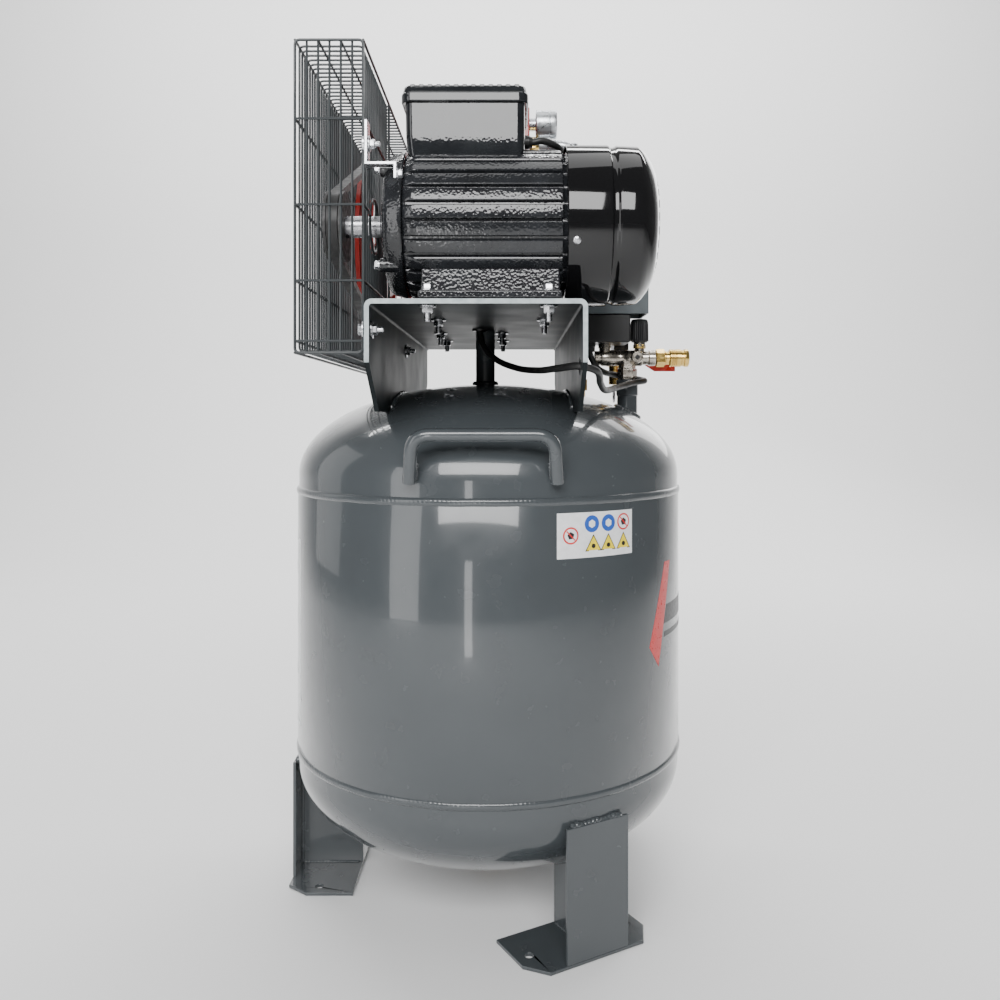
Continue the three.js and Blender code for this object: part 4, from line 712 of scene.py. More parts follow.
CENTRE_X = -5
CENTRE_RADIUS = 12.75
CENTRE_TOP = 714.7
OUTLET_X = 185
OUTLET_RADIUS = 13.5
OUTLET_TOP = 650
centre_profile = [(upper_head(CENTRE_X, 0) - 4, CENTRE_RADIUS), (CENTRE_TOP, CENTRE_RADIUS)]
centre = Shape().lathe(centre_profile, (CENTRE_X, 0, 0), count=64)
centre.done("centre_riser_pipe", "tank_paint", ["centre_riser"])
outlet_profile = [(upper_head(OUTLET_X, 0) - 16, OUTLET_RADIUS), (628, OUTLET_RADIUS)]
outlet_profile += [(629.5, 14.6), (OUTLET_TOP - 1.5, 14.6), (OUTLET_TOP, 13.6)]
outlet = Shape().lathe(outlet_profile, (OUTLET_X, 0, 0), count=64)
outlet.done("outlet_riser_pipe", "tank_paint", ["outlet_riser"], bevel=0.3)
flares = Shape()
for x, radius in ((CENTRE_X, CENTRE_RADIUS), (OUTLET_X, OUTLET_RADIUS)):
    ring = []
    for k in range(49):
        angle = 2 * pi * k / 48
        px, py = x + (radius + 1.2) * cos(angle), (radius + 1.2) * sin(angle)
        ring.append((px, py, upper_head(px, py) + 1.2))
    weld(flares, ring, 3.2)
flares.done("riser_welds", "tank_paint")

# ---- motor
MOTOR_Y = middle("motor_shaft").y
MOTOR_Z = middle("motor_shaft").z
MOTOR_RADIUS = 82
MOTOR_LEFT = -82
MOTOR_RIGHT = 88
RIBS = 28
RIB_DEPTH = 5
RIB_GROOVE = 4.2
PLATFORM_TOP = 720
PLATFORM_PLATE = 5
TIE_ANGLES = (45, 135, 225, 315)
TIE_CIRCLE = 71


def motor_rim(radius, angle):
    """The (y, z) of a point round the motor's axis."""
    return MOTOR_Y + radius * cos(angle), MOTOR_Z + radius * sin(angle)


def rib_ring(x, crown, depth, widen=0.0):
    """One slice through the ribbed barrel: rounded flats parted by narrow grooves."""
    ring = []
    pitch = 2 * pi / RIBS
    for i in range(RIBS):
        groove = (i + 0.5) * pitch
        half = (RIB_GROOVE / 2 + widen) / MOTOR_RADIUS
        bottom = crown - depth
        marks = [(-0.5, 0.0), (0.5, 0.0), (0.85, 0.35), (1.05, 0.8), (1.5, 0.98), (2.0, 1.0)]
        left = [(groove - half * m, bottom + depth * f) for m, f in reversed(marks[1:])]
        right = [(groove + half * m, bottom + depth * f) for m, f in marks[1:]]
        for angle, radius in left + right:
            ring.append((x, *motor_rim(radius, angle)))
    return ring


barrel_slices = [
    rib_ring(MOTOR_LEFT, 76.4, 0.2), rib_ring(MOTOR_LEFT + 1.5, 77.8, 1.0),
    rib_ring(MOTOR_LEFT + 7, 80.6, 3.8, 0.6), rib_ring(MOTOR_LEFT + 11, 81.8, 4.8, 0.2),
    rib_ring(MOTOR_LEFT + 14, MOTOR_RADIUS, RIB_DEPTH),
    rib_ring(MOTOR_RIGHT - 8, MOTOR_RADIUS, RIB_DEPTH), rib_ring(MOTOR_RIGHT - 5, 81.4, 4.4),
    rib_ring(MOTOR_RIGHT - 3, 78.5, 1.5), rib_ring(MOTOR_RIGHT, 77.5, 0.2),
]
barrel = Shape().skin(barrel_slices)
FOOT_X = (-65, 82)
FOOT_Y = (-306, -134)
FOOT_Z = (720.3, 729.3)
barrel.done("motor_barrel", "motor_paint")

feet = Shape()
for front in (True, False):
    y0, y1 = (FOOT_Y[0], -262) if front else (-178, FOOT_Y[1])
    feet.block(*FOOT_X, y0, y1, *FOOT_Z)
web = [(-280, 724), (-160, 724), (-161, 761), (-279, 761)]
feet.prism(web, "x", FOOT_X[0] + 1, FOOT_X[1] - 1)
feet.done("motor_feet", "motor_paint", ["motor_housing"], bevel=2.2)

SHIELD_LEFT = -111
# distance from the shield's face, radius
SHIELD_STEPS = (
    (0, 13), (0, 27), (0.8, 28), (3.5, 29.5), (4.5, 40), (5.5, 58), (7.5, 69),
    (10, 73.5), (14, 76), (20, 77.5), (24.0, 79.5), (27.2, 80), (28.4, 79.2), (28.6, 77.5),
    (28.6, 13),
)
shield_reach = SHIELD_LEFT - MOTOR_LEFT
shield_profile = [(shield_reach + along, radius) for along, radius in SHIELD_STEPS]
shield = Shape().lathe(shield_profile, (MOTOR_LEFT, MOTOR_Y, MOTOR_Z), RIGHT, 128, hollow=True)
for degrees in TIE_ANGLES:
    boss = (MOTOR_LEFT, *motor_rim(TIE_CIRCLE, radians(degrees)))
    shield.lathe([(-26, 5.5), (-25, 7.5), (-1, 8.5)], boss, RIGHT, 24)
shield.done("motor_end_shield", "motor_paint", ["motor_front_shield"])
tie_bolts = Shape()
for degrees in TIE_ANGLES:
    boss = (MOTOR_LEFT - 26, *motor_rim(TIE_CIRCLE, radians(degrees)))
    tie_bolts.bolt(boss, LEFT, 8, 4.2, washer=5.4)
tie_bolts.done("motor_tie_bolts", "zinc")

COWL_LEFT = 88.3
COWL_RIGHT = 187
COWL_RADIUS = 87.5
# distance from the cowl's open edge, step in from its radius
COWL_STEPS = (
    (0, 2.2), (0, 0.8), (0.8, 0), (44, 0), (45.5, 0.4), (47, 2.4), (49.5, 2.9), (52, 2.4),
    (53.5, 1.2), (55, 1.0), (76, 1.6), (79, 2.6), (84, 6.6), (90, 14.5), (94, 22), (96.8, 31),
    (98.3, 40), (98.7, 50), (98.7, 73.5), (96.5, 73.5), (96.5, 50), (94.5, 34), (88, 16), (80, 5),
    (74, 3.6),
)
cowl_profile = [(along, COWL_RADIUS - inset) for along, inset in COWL_STEPS]
cowl = Shape().lathe(cowl_profile, (COWL_LEFT, MOTOR_Y, MOTOR_Z), RIGHT, 160, hollow=True)
cowl.lathe([(95.5, 15), (97.6, 15), (98.4, 12), (98.5, 1)], (COWL_LEFT, MOTOR_Y, MOTOR_Z), RIGHT, 48)
cowl.done("motor_cowl", "cowl_paint", ["fan_cowl"])
# Painted shade: near-black arcs lie where the cowl's vent slots are, standing for the shade inside the
# openings; the cowl itself is not cut.
vents = Shape()
for ring_radius in (27, 36, 45, 54, 63):
    slots = round(2 * pi * ring_radius / 14)
    along = COWL_RIGHT - COWL_LEFT
    for k in range(slots):
        angle = 2 * pi * (k + 0.25 * (ring_radius % 2)) / slots
        inward = 0.0 if ring_radius < 46 else (1.3 if ring_radius < 60 else 5.0)
        arc_path = []
        for step in range(5):
            a = angle + (step - 2) * 2.1 / ring_radius
            arc_path.append((COWL_LEFT + along - inward - 1.2, *motor_rim(ring_radius, a)))
        vents.tube(arc_path, 1.7, 8)
vents.done("motor_cowl_vents", "black_plastic", look="print_and_shade_black")
cowl_screws = Shape()
for degrees in (20, 110, 200, 290):
    angle = radians(degrees)
    outward = Vector((0, cos(angle), sin(angle)))
    place = Vector((COWL_LEFT + 9, MOTOR_Y, MOTOR_Z)) + outward * (COWL_RADIUS - 0.4)
    cowl_screws.lathe([(0, 4.2), (1.4, 4.0), (2.4, 2.8), (2.7, 0.5)], place, outward, 24)
cowl_screws.done("motor_cowl_screws", "zinc")

motor_bolts = Shape()
BOLT_X = (-56, 69)
BOLT_Y = (-290, -150)
for x, y in product(BOLT_X, BOLT_Y):
    motor_bolts.bolt((x, y, FOOT_Z[1]), UP, 11, 6.4, washer=8.6)
    motor_bolts.bolt((x, y, PLATFORM_TOP - PLATFORM_PLATE), DOWN, 11, 6.2, washer=9.2, stud=9)
motor_bolts.done("motor_foot_bolts", "zinc", bevel=0.25)

# ---- terminal box
BOX_X = (-82, 44.5)
BOX_Y = (-270, -170)
BOX_BOTTOM = 872
LID_BOTTOM = 931.3
LID_TOP = 950


def box_ring(grow_left, grow, z, corner, steps=6):
    """A level rectangle with round corners, grown past the terminal box's sides."""
    x0, x1 = BOX_X[0] - grow_left + corner, BOX_X[1] + grow - corner
    y0, y1 = BOX_Y[0] - grow + corner, BOX_Y[1] + grow - corner
    ring = []
    for quarter, (cx, cy) in enumerate(((x1, y1), (x0, y1), (x0, y0), (x1, y0))):
        for k in range(steps + 1):
            angle = pi / 2 * (quarter + k / steps)
            ring.append((cx + corner * cos(angle), cy + corner * sin(angle), z))
    return ring


# height, step in on the left, step in on the other sides, corner radius
BOX_STEPS = (
    (BOX_BOTTOM - 4, 6.5, 4.0, 7), (BOX_BOTTOM + 3, 3.6, 1.6, 8), (BOX_BOTTOM + 11, 1.8, 0.4, 9),
    (BOX_BOTTOM + 24, 0.6, 0.0, 9), (LID_BOTTOM - 3, 0.0, 0.0, 9), (LID_BOTTOM - 0.3, 0.0, 0.0, 9),
)
box = Shape().skin([box_ring(-left_in, -side_in, z, corner) for z, left_in, side_in, corner in BOX_STEPS])
box.done("terminal_box_body", "motor_paint", ["terminal_box"], look="box_enamel")

# height, step out, corner radius
LID_STEPS = (
    (LID_BOTTOM, 3.2, 12), (LID_BOTTOM + 0.8, 4.0, 12), (LID_BOTTOM + 9, 4.0, 12),
    (LID_BOTTOM + 10, 3.2, 11), (LID_TOP - 7, 2.6, 11), (LID_TOP - 2.5, 1.6, 10),
    (LID_TOP - 0.8, 0.2, 9), (LID_TOP - 0.2, -2.5, 8),
)
lid = Shape().skin([box_ring(grow, grow, z, corner) for z, grow, corner in LID_STEPS])
LID_RIBS = 13
rib_pitch = (BOX_X[1] - BOX_X[0] - 8) / LID_RIBS
for i in range(LID_RIBS):
    x = BOX_X[0] + 4 + rib_pitch * (i + 0.5)
    for y, out in ((BOX_Y[0], -1), (BOX_Y[1], 1)):
        face = y + out * 1.6
        near, far = sorted((face, face - out * 6))
        lid.block(x - 2.4, x + 2.4, near, far + 0.8, LID_TOP - 7.5, LID_TOP - 0.1)
lid.done("terminal_box_cover", "motor_paint", ["terminal_box_lid"], bevel=0.9, look="box_enamel")

lid_screws = Shape()
screw_profile = [(-0.6, 3.6), (-0.1, 3.4), (-0.05, 1.5), (-0.7, 1.2)]
for x, y in product((BOX_X[0] + 9, BOX_X[1] - 9), (BOX_Y[0] + 9, BOX_Y[1] - 9)):
    lid_screws.lathe(screw_profile, (x, y, LID_TOP), UP, 20)
lid_screws.done("terminal_box_screws", "zinc")

# ---- belt guard
GUARD_X = (-193, -120)
GUARD_Y = (-297, 330)
GUARD_Z = (664.5, 988)
FRAME_WIRE = 1.5
MESH_WIRE = 1.25
INNER_REAR = -98
STIFFENERS = (678, 740, 818, 906)
SHAFT_RING = 29.5
LOOP_PITCH = 12.6
FACE_PITCH = 11.7
wire_left, wire_right = GUARD_X[0] + FRAME_WIRE, GUARD_X[1] - FRAME_WIRE
wire_low, wire_high = GUARD_Z[0] + FRAME_WIRE, GUARD_Z[1] - FRAME_WIRE
wire_front, wire_rear = GUARD_Y[0] + FRAME_WIRE, GUARD_Y[1] - FRAME_WIRE
guard = Shape()
frame_loop = [(wire_left, wire_low), (wire_right, wire_low)]
frame_loop += [(wire_right, wire_high), (wire_left, wire_high)]
for y in (wire_front, wire_rear):
    corners = [(x, y, z) for x, z in frame_loop]
    guard.tube(rounded_path(corners, 5, 4, looped=True), FRAME_WIRE, 10, looped=True)
    inward = 2.4 if y < 0 else -2.4
    bars = round((wire_right - wire_left) / FACE_PITCH)
    for k in range(1, bars):
        x = wire_left + (wire_right - wire_left) * k / bars
        guard.tube([(x, y + inward, wire_low - 1), (x, y + inward, wire_high + 1)], MESH_WIRE, 8)
    for z in STIFFENERS:
        guard.tube([(wire_left - 0.5, y, z), (wire_right + 0.5, y, z)], MESH_WIRE, 8)
for x, z in product((wire_left, wire_right), (wire_low, wire_high)):
    guard.tube([(x, wire_front, z), (x, wire_rear, z)], FRAME_WIRE, 10)
loops = round((wire_rear - wire_front) / LOOP_PITCH)
step_in = 1.9
left, right = wire_left + step_in, wire_right - step_in
low, high = wire_low + step_in, wire_high - step_in
for k in range(1, loops):
    y = wire_front + (wire_rear - wire_front) * k / loops
    near_shaft = abs(y - MOTOR_Y) < SHAFT_RING
    closed = y <= INNER_REAR and not near_shaft
    end = wire_right + 0.6 if y > INNER_REAR else right
    bend = [(end, low), (left, low), (left, high), (end, high)]
    if near_shaft:
        reach = sqrt(SHAFT_RING**2 - (y - MOTOR_Y) ** 2)
        bend = [(right, MOTOR_Z - reach), *bend, (right, MOTOR_Z + reach)]
    corners = [(x, y, z) for x, z in bend]
    guard.tube(rounded_path(corners, 5, 4, looped=closed), MESH_WIRE, 8, looped=closed)
for z in STIFFENERS:
    guard.tube([(wire_left, wire_front, z), (wire_left, wire_rear, z)], FRAME_WIRE, 8)
    stretches = [(wire_front, INNER_REAR)]
    if abs(z - MOTOR_Z) < SHAFT_RING:
        reach = sqrt(SHAFT_RING**2 - (z - MOTOR_Z) ** 2)
        stretches = [(wire_front, MOTOR_Y - reach), (MOTOR_Y + reach, INNER_REAR)]
    for y0, y1 in stretches:
        guard.tube([(wire_right, y0, z), (wire_right, y1, z)], FRAME_WIRE, 8)
guard.tube([(wire_right, INNER_REAR, wire_low), (wire_right, INNER_REAR, wire_high)], FRAME_WIRE, 8)
for share in (0.34, 0.67):
    x = wire_left + (wire_right - wire_left) * share
    for z in (wire_low, wire_high):
        guard.tube([(x, wire_front, z), (x, wire_rear, z)], MESH_WIRE, 8)
ring_path = [(wire_right, *motor_rim(SHAFT_RING, 2 * pi * k / 32)) for k in range(32)]
guard.tube(ring_path, FRAME_WIRE, 10, looped=True)
GUARD_PANELS = ["guard_outer_panel", "guard_inner_panel", "guard_top_panel", "guard_bottom_panel"]
GUARD_PANELS += ["guard_front_panel", "guard_rear_panel"]
guard.done("belt_guard_wires", "wire_paint", GUARD_PANELS)

guard_bolts = Shape()
FLANGE_BOLT_Y = (-289, 22)
FLANGE_BOLT_Z = 690
BRACKET_Y = middle("guard_bracket").y
BRACKET_BOLT_Z = 881
BRACKET_FOOT_Z = 850.5
for y in FLANGE_BOLT_Y:
    guard_bolts.bolt((-121.2, y, FLANGE_BOLT_Z), LEFT, 10, 5, washer=11)
    guard_bolts.bolt((-114, y, FLANGE_BOLT_Z), RIGHT, 10, 5, washer=9, stud=6)
guard_bolts.bolt((-116.4, BRACKET_Y, BRACKET_BOLT_Z), RIGHT, 9, 5, washer=8, stud=5)
guard_bolts.lathe([(0, 9.5), (2.2, 9.5), (2.6, 8.8)], (-119.9, BRACKET_Y, BRACKET_BOLT_Z), LEFT, 28)
guard_bolts.bolt((-87.4, BRACKET_Y, BRACKET_FOOT_Z), RIGHT, 8, 4.5, washer=6.2)
guard_bolts.done("guard_bolts", "zinc", bevel=0.2)

# ---- pump fasteners
PUMP_Y = middle("crankshaft").y
pump_bolts = Shape()
PUMP_BOLT_X, PUMP_BOLT_Y = (-67, 17), (26, 154)
PUMP_FLANGE_TOP = 730.4
COVER_CIRCLE = 45
for x, y in product(PUMP_BOLT_X, PUMP_BOLT_Y):
    pump_bolts.bolt((x, y, PUMP_FLANGE_TOP), UP, 11, 6.4, washer=8.6)
    pump_bolts.bolt((x, y, PLATFORM_TOP - PLATFORM_PLATE), DOWN, 11, 6.2, washer=9.2, stud=9)
head_low, head_high = span("cylinder_head")
head_x = (head_low.x + 9, middle("cylinder_head").x, head_high.x - 9)
for x, y in product(head_x, (head_low.y + 8, head_high.y - 8)):
    pump_bolts.bolt((x, y, head_high.z - 1), UP, 8, 5, washer=6)
cover_left = span("crankcase_cover")[0].x
for k in range(6):
    angle = radians(30 + 60 * k)
    y = PUMP_Y + COVER_CIRCLE * cos(angle)
    z = middle("crankcase_cover").z + COVER_CIRCLE * sin(angle)
    pump_bolts.bolt((cover_left, y, z), LEFT, 7, 3.6)
pump_bolts.done("pump_bolts", "zinc", bevel=0.2)

# ---- intake filter
filter_low, filter_high = span("intake_filter")
filter_middle = middle("intake_filter")
can_radius = (filter_high.z - filter_low.z) / 2
can_length = filter_high.x - filter_low.x
can_profile = [
    (0, 9), (can_length * 0.22, 9), (can_length * 0.24, can_radius - 1.5),
    (can_length * 0.27, can_radius - 0.6), (can_length * 0.7, can_radius - 0.6),
    (can_length * 0.72, can_radius - 1.2), (can_length * 0.74, can_radius - 1.2),
    (can_length * 0.76, can_radius - 0.1), (can_length - 2.5, can_radius - 0.1),
    (can_length - 0.8, can_radius - 0.9), (can_length, can_radius - 2.6), (can_length, 8),
    (can_length - 1.2, 6), (can_length - 1.2, 0.4),
]
can = Shape().lathe(can_profile, (filter_low.x, filter_middle.y, filter_middle.z), RIGHT, 64)
can.done("intake_filter_can", "aluminium", ["intake_filter"])

# ---- discharge pipe
PIPE_RADIUS = 8
CHECK_X = 125
CHECK_TOP = 662
PIPE_Z = 990
pipe_corners = [(55.3, PUMP_Y, PIPE_Z), (CHECK_X, PUMP_Y, PIPE_Z), (CHECK_X, PUMP_Y, CHECK_TOP + 0.4)]
pipe = Shape().tube(rounded_path(pipe_corners, 30, 12), PIPE_RADIUS - 0.4, 32)
pipe.done("discharge_tube", "aluminium", ["discharge_pipe"])
pipe_nuts = Shape().bolt((56, PUMP_Y, PIPE_Z), RIGHT, 22, 13)
pipe_nuts.bolt((CHECK_X, PUMP_Y, CHECK_TOP + 0.5), UP, 22, 13)
pipe_nuts.done("discharge_nuts", "brass", bevel=0.5)

# ---- outlet manifold
LINE_Z = 679
LINE_LEFT = 141
LINE_RIGHT = 223
PLUG_X = 196
line_profile = [
    (0, 8.6), (0.8, 9.6), (9, 9.6), (9.8, 10.9), (27, 10.9), (28, 10.2), (41, 10.2), (42, 10.9),
    (63, 10.9), (64, 9.2), (72, 9.2), (73, 10.6), (81, 10.6), (82, 9.8),
]
line = Shape().lathe(line_profile, (LINE_LEFT, 0, LINE_Z), RIGHT, 56)
for x, top, radius in ((155, 697.7, 7.6), (201.5, 699.7, 6.6)):
    branch = [(LINE_Z, radius), (top - 6, radius), (top - 5.5, radius + 1.2), (top, radius + 1.2)]
    line.lathe(branch, (x, 0, 0), count=40)
line.lathe([(650.3, 12.6), (652, 13.4), (664, 13.4), (666, 11.5), (LINE_Z, 11)], (OUTLET_X, 0, 0), count=6)
line.lathe([(0, 6), (24, 6), (24.5, 7.2), (33.5, 7.2), (34, 6.6)], (172, 0, LINE_Z), REAR, 40)
line.lathe([(0, 7.6), (14, 7.6), (14.4, 8.0), (20.8, 8.0), (22, 7.0)], (PLUG_X, 0, LINE_Z), FRONT, 48)
line.done("outlet_manifold_body", "nickel", ["outlet_manifold"], bevel=0.35)
# Painted shade: a thin near-black hexagon on the plug's face stands for the shade inside its hex socket.
sockets = Shape().lathe([(0, 3.6), (0.35, 3.4), (0.4, 0.3)], (PLUG_X, -21.8, LINE_Z), FRONT, 6)
sockets.done("manifold_plug_socket", "black_plastic", look="print_and_shade_black")

# ---- regulator knob
knob_low, knob_high = span("regulator_knob")
knob_middle = middle("regulator_knob")
knob_radius = (knob_high.x - knob_low.x) / 2
KNURLS = 24
knob = Shape()
knob_rings = []
for height, radius, depth in (
    (0, 0.84, 0.0), (1.2, 0.88, 0.0), (1.4, 0.99, 0.5), (11, 0.99, 0.9), (24, 0.97, 0.9),
    (28, 0.93, 0.5), (30, 0.86, 0.0), (30.7, 0.72, 0.0),
):
    ring = []
    for i in range(KNURLS * 6):
        angle = 2 * pi * i / (KNURLS * 6)
        reach = radius * knob_radius - depth * (0.5 + 0.5 * cos(angle * KNURLS)) ** 2
        x, y = knob_middle.x + reach * cos(angle), knob_middle.y + reach * sin(angle)
        ring.append((x, y, knob_low.z + height))
    knob_rings.append(ring)
knob.skin(knob_rings)
knob.done("regulator_grip", "black_plastic", ["regulator_knob"], body="regulator")
COLLAR_Z = 691.5
collar_profile = [(0, 7.5), (0.6, 8.6), (5.2, 8.6), (5.8, 8.0)]
collar = Shape().lathe(collar_profile, (knob_middle.x, knob_middle.y, COLLAR_Z), count=6)
collar.done("regulator_collar", "brass", bevel=0.3)

# ---- quick coupler
COUPLER_LEFT = 223.3
hexagon = [(0, 11.2), (0.7, 12.2), (11, 12.2), (11.7, 11.2)]
coupler = Shape().lathe(hexagon, (COUPLER_LEFT, 0, LINE_Z), RIGHT, 6)
body_profile = [
    (11, 10), (12.5, 10), (13, 8.9), (41.7, 8.9), (41.7, 5.6), (14, 5.6), (14, 4), (11, 4),
]
coupler.lathe(body_profile, (COUPLER_LEFT, 0, LINE_Z), RIGHT, 64, hollow=True)
coupler.done("coupler_stem", "brass", ["coupler_body"], bevel=0.3)
sleeve_low, sleeve_high = span("coupler_sleeve")
sleeve = Shape()
sleeve_profile = [(0, 9.5), (0, 11.0), (0.9, 11.9)]
for k in range(3):
    start = 2.2 + k * 2.6
    sleeve_profile += [(start, 11.9), (start + 0.5, 11.1), (start + 1.4, 11.1), (start + 1.9, 11.9)]
sleeve_profile += [(15.2, 11.9), (16, 10.9), (19.2, 10.9), (20, 11.9)]
sleeve_profile += [(24.6, 11.9), (25.6, 11.2), (25.9, 10.4), (25.9, 9.5)]
sleeve.lathe(sleeve_profile, (sleeve_low.x, 0, LINE_Z), RIGHT, 72, hollow=True)
sleeve.done("coupler_grip", "brass", ["coupler_sleeve"], body="sleeve")

# ---- pressure gauge
gauge_low, gauge_high = span("pressure_gauge")
gauge_middle = middle("pressure_gauge")
gauge_radius = (gauge_high.z - gauge_low.z) / 2
dial_centre = (gauge_low.x, gauge_middle.y, gauge_high.z - gauge_radius)
gauge_length = gauge_high.x - gauge_low.x
gauge_profile = [
    (0, 1), (0, gauge_radius - 2), (1.6, gauge_radius - 0.8), (gauge_length - 5, gauge_radius - 0.8),
    (gauge_length - 4.6, gauge_radius), (gauge_length - 0.8, gauge_radius),
    (gauge_length, gauge_radius - 0.8), (gauge_length, gauge_radius - 2),
    (gauge_length - 2.2, gauge_radius - 2.6), (gauge_length - 2.2, 1),
]
gauge = Shape().lathe(gauge_profile, dial_centre, RIGHT, 64)
gauge.done("gauge_case", "black_plastic", ["pressure_gauge"])
dial_at = gauge_low.x + gauge_length - 2.3
dial_profile = [(0, gauge_radius - 2.8), (0.4, gauge_radius - 2.9), (0.41, 0.2)]
dial = Shape().lathe(dial_profile, (dial_at, *dial_centre[1:]), RIGHT, 64)
dial.done("gauge_dial", "black_plastic", look="label_white")
ticks = Shape()
for k in range(25):
    angle = radians(225 - 270 * k / 24)
    outward = Vector((0, cos(angle), sin(angle)))
    inner = gauge_radius - (6.6 if k % 4 == 0 else 5.2)
    start = Vector((dial_at + 0.5, *dial_centre[1:])) + outward * inner
    finish = Vector((dial_at + 0.5, *dial_centre[1:])) + outward * (gauge_radius - 4)
    ticks.tube([start, finish], 0.35 if k % 4 == 0 else 0.2, 6)
ticks.done("gauge_ticks", "black_plastic", look="print_and_shade_black")
hub = Vector((dial_at + 0.9, *dial_centre[1:]))
resting = Vector((0, cos(radians(225)), sin(radians(225))))
needle = Shape().tube([hub - resting * 4, hub + resting * (gauge_radius - 6)], 0.35, 6)
needle.lathe([(0, 2), (0.7, 1.8), (0.9, 0.3)], tuple(hub), RIGHT, 24)
needle.done("gauge_needle", "black_plastic", look="label_red")

# ---- switch glands
switch_low = span("switch_base")[0]
GLAND = (133, -20)
gland_profile = [(0, 8), (5, 8), (5.6, 7.2), (11, 7.2), (12.4, 5.4)]
glands = Shape().lathe(gland_profile, (*GLAND, switch_low.z), DOWN, 36)
glands.done("switch_glands", "black_plastic")
cover_screws = Shape()
cover_low, cover_high = span("switch_cover")
for x, y in ((cover_low.x + 10, cover_low.y + 9), (cover_high.x - 10, cover_high.y - 9)):
    cover_screws.lathe([(-1, 4), (0.2, 3.8), (0.8, 2.6), (0.9, 0.3)], (x, y, cover_high.z), UP, 24)
cover_screws.done("switch_cover_screws", "zinc")

# ---- motor lead
LEAD_RADIUS = 4
LEAD_POINTS = [
    (45.5, -222, 903), (54.5, -222, 903), (64, -221, 905), (80, -214, 901), (90, -188, 897),
    (90, -152, 880), (80, -122, 842), (60, -108, 795), (30, -86, 758), (-2, -45, 742), (-12, -28, 728),
    (-12, -27, 710), (-6, -36, 692), (10, -56, 674), (36, -92, 661), (62, -150, 655), (82, -218, 654),
    (104, -258, 654), (120, -255, 650), (130, -205, 638), (142, -140, 632), (166, -62, 638),
    (190, -26, 645), (207, -8, 648), (204, 15, 651), (185, 22, 655), (166, 13, 658), (154, -3, 660),
    (142, -17, 667), (134, -20, 682), (133, -20, 697.7),
]


def smooth_curve(points, steps):
    """A centripetal curve through all the points."""
    knots = [Vector(p) for p in points]
    knots = [knots[0] * 2 - knots[1]] + knots + [knots[-1] * 2 - knots[-2]]
    path = []
    for i in range(1, len(knots) - 2):
        p0, p1, p2, p3 = knots[i - 1 : i + 3]
        t1 = (p1 - p0).length ** 0.5
        t2 = t1 + (p2 - p1).length ** 0.5
        t3 = t2 + (p3 - p2).length ** 0.5
        for k in range(steps):
            t = t1 + (t2 - t1) * k / steps
            a1 = p0 * ((t1 - t) / t1) + p1 * (t / t1)
            a2 = p1 * ((t2 - t) / (t2 - t1)) + p2 * ((t - t1) / (t2 - t1))
            a3 = p2 * ((t3 - t) / (t3 - t2)) + p3 * ((t - t2) / (t3 - t2))
            b1 = a1 * ((t2 - t) / t2) + a2 * (t / t2)
            b2 = a2 * ((t3 - t) / (t3 - t1)) + a3 * ((t - t1) / (t3 - t1))
            path.append(b1 * ((t2 - t) / (t2 - t1)) + b2 * ((t - t1) / (t2 - t1)))
    path.append(knots[-2])
    return path


lead = Shape().tube(smooth_curve(LEAD_POINTS, 10), LEAD_RADIUS, 16)
lead.done("motor_lead_jacket", "rubber", ["motor_lead"])
grommets = Shape().lathe([(0, 7.6), (5.5, 7.2), (6, 6.4), (9, 5.6)], (44.5, -222, 903), RIGHT, 32)
ring_section = [(-7.6, 4.2), (-7.6, 9.2), (-5.2, 9.6), (-4.8, 6.8)]
ring_section += [(0.2, 6.8), (0.6, 9.4), (2.4, 8.8), (2.4, 4.2)]
grommets.lathe(ring_section, (-12, -28, PLATFORM_TOP), UP, 40, hollow=True)
grommets.done("lead_grommets", "rubber")

# ---- labels on the receiver


def shell_point(radius, degrees, z):
    """A layout point at a radius and an angle round the receiver."""
    return radius * cos(radians(degrees)), radius * sin(radians(degrees)), z


def box_corners(degrees, heights):
    """The four (degrees, height) corners of an upright panel."""
    (a0, a1), (z0, z1) = degrees, heights
    return [(a0, z0), (a1, z0), (a1, z1), (a0, z1)]


def wrapped(shape, corners, lift=0.25, columns=24, rows=12):
    """A thin closed panel bent round the shell: corners are (degrees, height) in order, four of them."""
    (a0, z0), (a1, z1), (a2, z2), (a3, z3) = corners
    rings = []
    for k in range(columns + 1):
        t = k / columns
        low = Vector((a0 + (a1 - a0) * t, z0 + (z1 - z0) * t))
        high = Vector((a3 + (a2 - a3) * t, z3 + (z2 - z3) * t))
        steps = [low.lerp(high, j / rows) for j in range(rows + 1)]
        outside = [shell_point(TANK_RADIUS + lift, *step) for step in steps]
        inside = [shell_point(TANK_RADIUS - 0.6, *step) for step in reversed(steps)]
        rings.append(outside + inside)
    return shape.skin(rings)


def wrapped_outline(shape, points, lift=0.4):
    """A small closed badge bent round the shell from (degrees, height) points."""
    radii = (TANK_RADIUS - 0.4, TANK_RADIUS + lift)
    return shape.skin([[shell_point(radius, *point) for point in points] for radius in radii])


MM_PER_DEGREE = radians(1) * TANK_RADIUS
LABEL_ANGLES = (-71.4, -47.9)
LABEL_Z = (445, 495)
sheet = wrapped(Shape(), box_corners(LABEL_ANGLES, LABEL_Z))
sheet.done("notice_sheet", "tank_paint", look="label_white")


def disc_points(degrees, z, radius, count=28, start=0.0):
    """The (degrees, height) points of a disc or a regular badge."""
    return [(degrees + x / MM_PER_DEGREE, z + y) for x, y in circle(radius, count, start)]


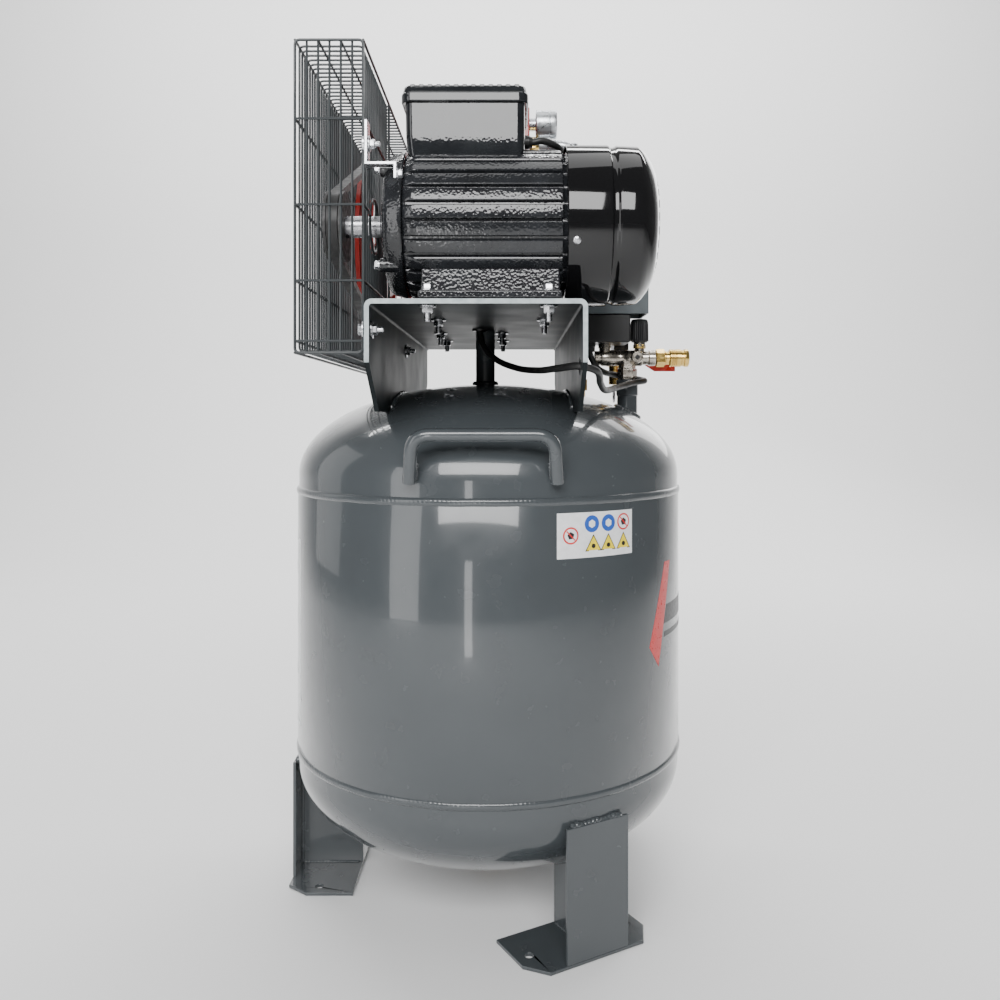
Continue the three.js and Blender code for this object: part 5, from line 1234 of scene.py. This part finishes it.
label_width = LABEL_ANGLES[1] - LABEL_ANGLES[0]
blue, yellow, black_marks, red_rings, white_marks = Shape(), Shape(), Shape(), Shape(), Shape()
upper_z, lower_z = 482, 458
for share in (0.42, 0.64):
    middle_angle = LABEL_ANGLES[0] + label_width * share
    wrapped_outline(blue, disc_points(middle_angle, upper_z, 9.5), 0.45)
    wrapped_outline(white_marks, disc_points(middle_angle, upper_z, 4.6, 6, 0.5), 0.6)
for share in (0.44, 0.64, 0.86):
    middle_angle = LABEL_ANGLES[0] + label_width * share
    wrapped_outline(black_marks, disc_points(middle_angle, lower_z, 12.4, 3, pi / 2), 0.4)
    wrapped_outline(yellow, disc_points(middle_angle, lower_z, 10.4, 3, pi / 2), 0.5)
    wrapped_outline(black_marks, disc_points(middle_angle, lower_z - 0.6, 2.6, 12), 0.62)
for share, z in ((0.16, 470), (0.86, upper_z)):
    middle_angle = LABEL_ANGLES[0] + label_width * share
    wrapped_outline(red_rings, disc_points(middle_angle, z, 9.5), 0.4)
    wrapped_outline(white_marks, disc_points(middle_angle, z, 7.6), 0.5)
    wrapped_outline(black_marks, disc_points(middle_angle, z, 4.4, 5, 0.4), 0.6)
    slope = [(-0.7, 7.2), (0.7, 7.2), (0.7, -7.2), (-0.7, -7.2)]
    half = sin(radians(45))
    bar = [(middle_angle + (x - y) * half / MM_PER_DEGREE, z + (x + y) * half) for x, y in slope]
    wrapped_outline(red_rings, bar, 0.7)
for name, marks, look in (
    ("notice_blue_discs", blue, "label_blue"), ("notice_yellow_triangles", yellow, "label_yellow"),
    ("notice_black_marks", black_marks, "print_and_shade_black"), ("notice_red_rings", red_rings, "label_red"),
    ("notice_white_marks", white_marks, "label_white"),
):
    marks.done(name, "tank_paint", look=look)

stripe = Shape()
wrapped(stripe, [(-40.0, 330), (-35.0, 304), (-27.0, 426), (-31.0, 426)], 0.25, 16)
stripe.done("side_stripe", "tank_paint", look="label_red")
dark_bars = Shape()
wrapped(dark_bars, [(-31.5, 352), (33, 352), (33, 374), (-29.5, 374)], 0.25, 60)
wrapped(dark_bars, [(-31.5, 336), (33, 336), (33, 342), (-31.0, 342)], 0.25, 60)
dark_bars.done("side_bars", "tank_paint", look="print_and_shade_black")
outline_marks = Shape()
PANEL_ANGLES = (158, 202)
PANEL_Z = (217, 448)
for heights in ((PANEL_Z[0], PANEL_Z[0] + 3), (PANEL_Z[1] - 3, PANEL_Z[1])):
    wrapped(outline_marks, box_corners(PANEL_ANGLES, heights))
for a in PANEL_ANGLES:
    wrapped(outline_marks, box_corners((a - 0.35, a + 0.35), PANEL_Z), columns=2)
for k in range(6):
    z = PANEL_Z[0] + 26 + k * 32
    end = 196 if k % 2 else 188
    wrapped(outline_marks, box_corners((164, end), (z, z + 14)), columns=20)
outline_marks.done("left_panel_outline", "tank_paint", look="label_white")

# ---- CAD shapes with eased edges
EASED = {
    "motor_rear_shield": 1.5, "flywheel": 1.4, "motor_pulley": 0.6, "drive_belt": 0.5,
    "motor_shaft": 0.6, "guard_bracket": 0.5, "crankcase": 3.0, "crankcase_cover": 1.5,
    "cylinder_block": 1.0, "valve_plate": 0.4, "cylinder_head": 2.0, "oil_filler_cap": 1.0,
    "oil_sight_glass": 0.6, "check_valve": 0.5, "safety_valve": 0.5, "ball_valve_lever": 0.8,
    "switch_base": 2.0, "switch_cover": 4.0, "switch_knob": 1.0, "drain_valve_body": 0.5,
    "drain_valve_tap": 0.6,
}
for eased_node, eased_width in EASED.items():
    dressed(eased_node, eased_width)
dressed("platform", 1.2, "platform_look")

# ---- shapes shown as they are
for node_name, node in frame["nodes"].items():
    node.data.materials.clear()
    node.data.materials.append(MATERIALS[NODE_SLOT[node_name]])
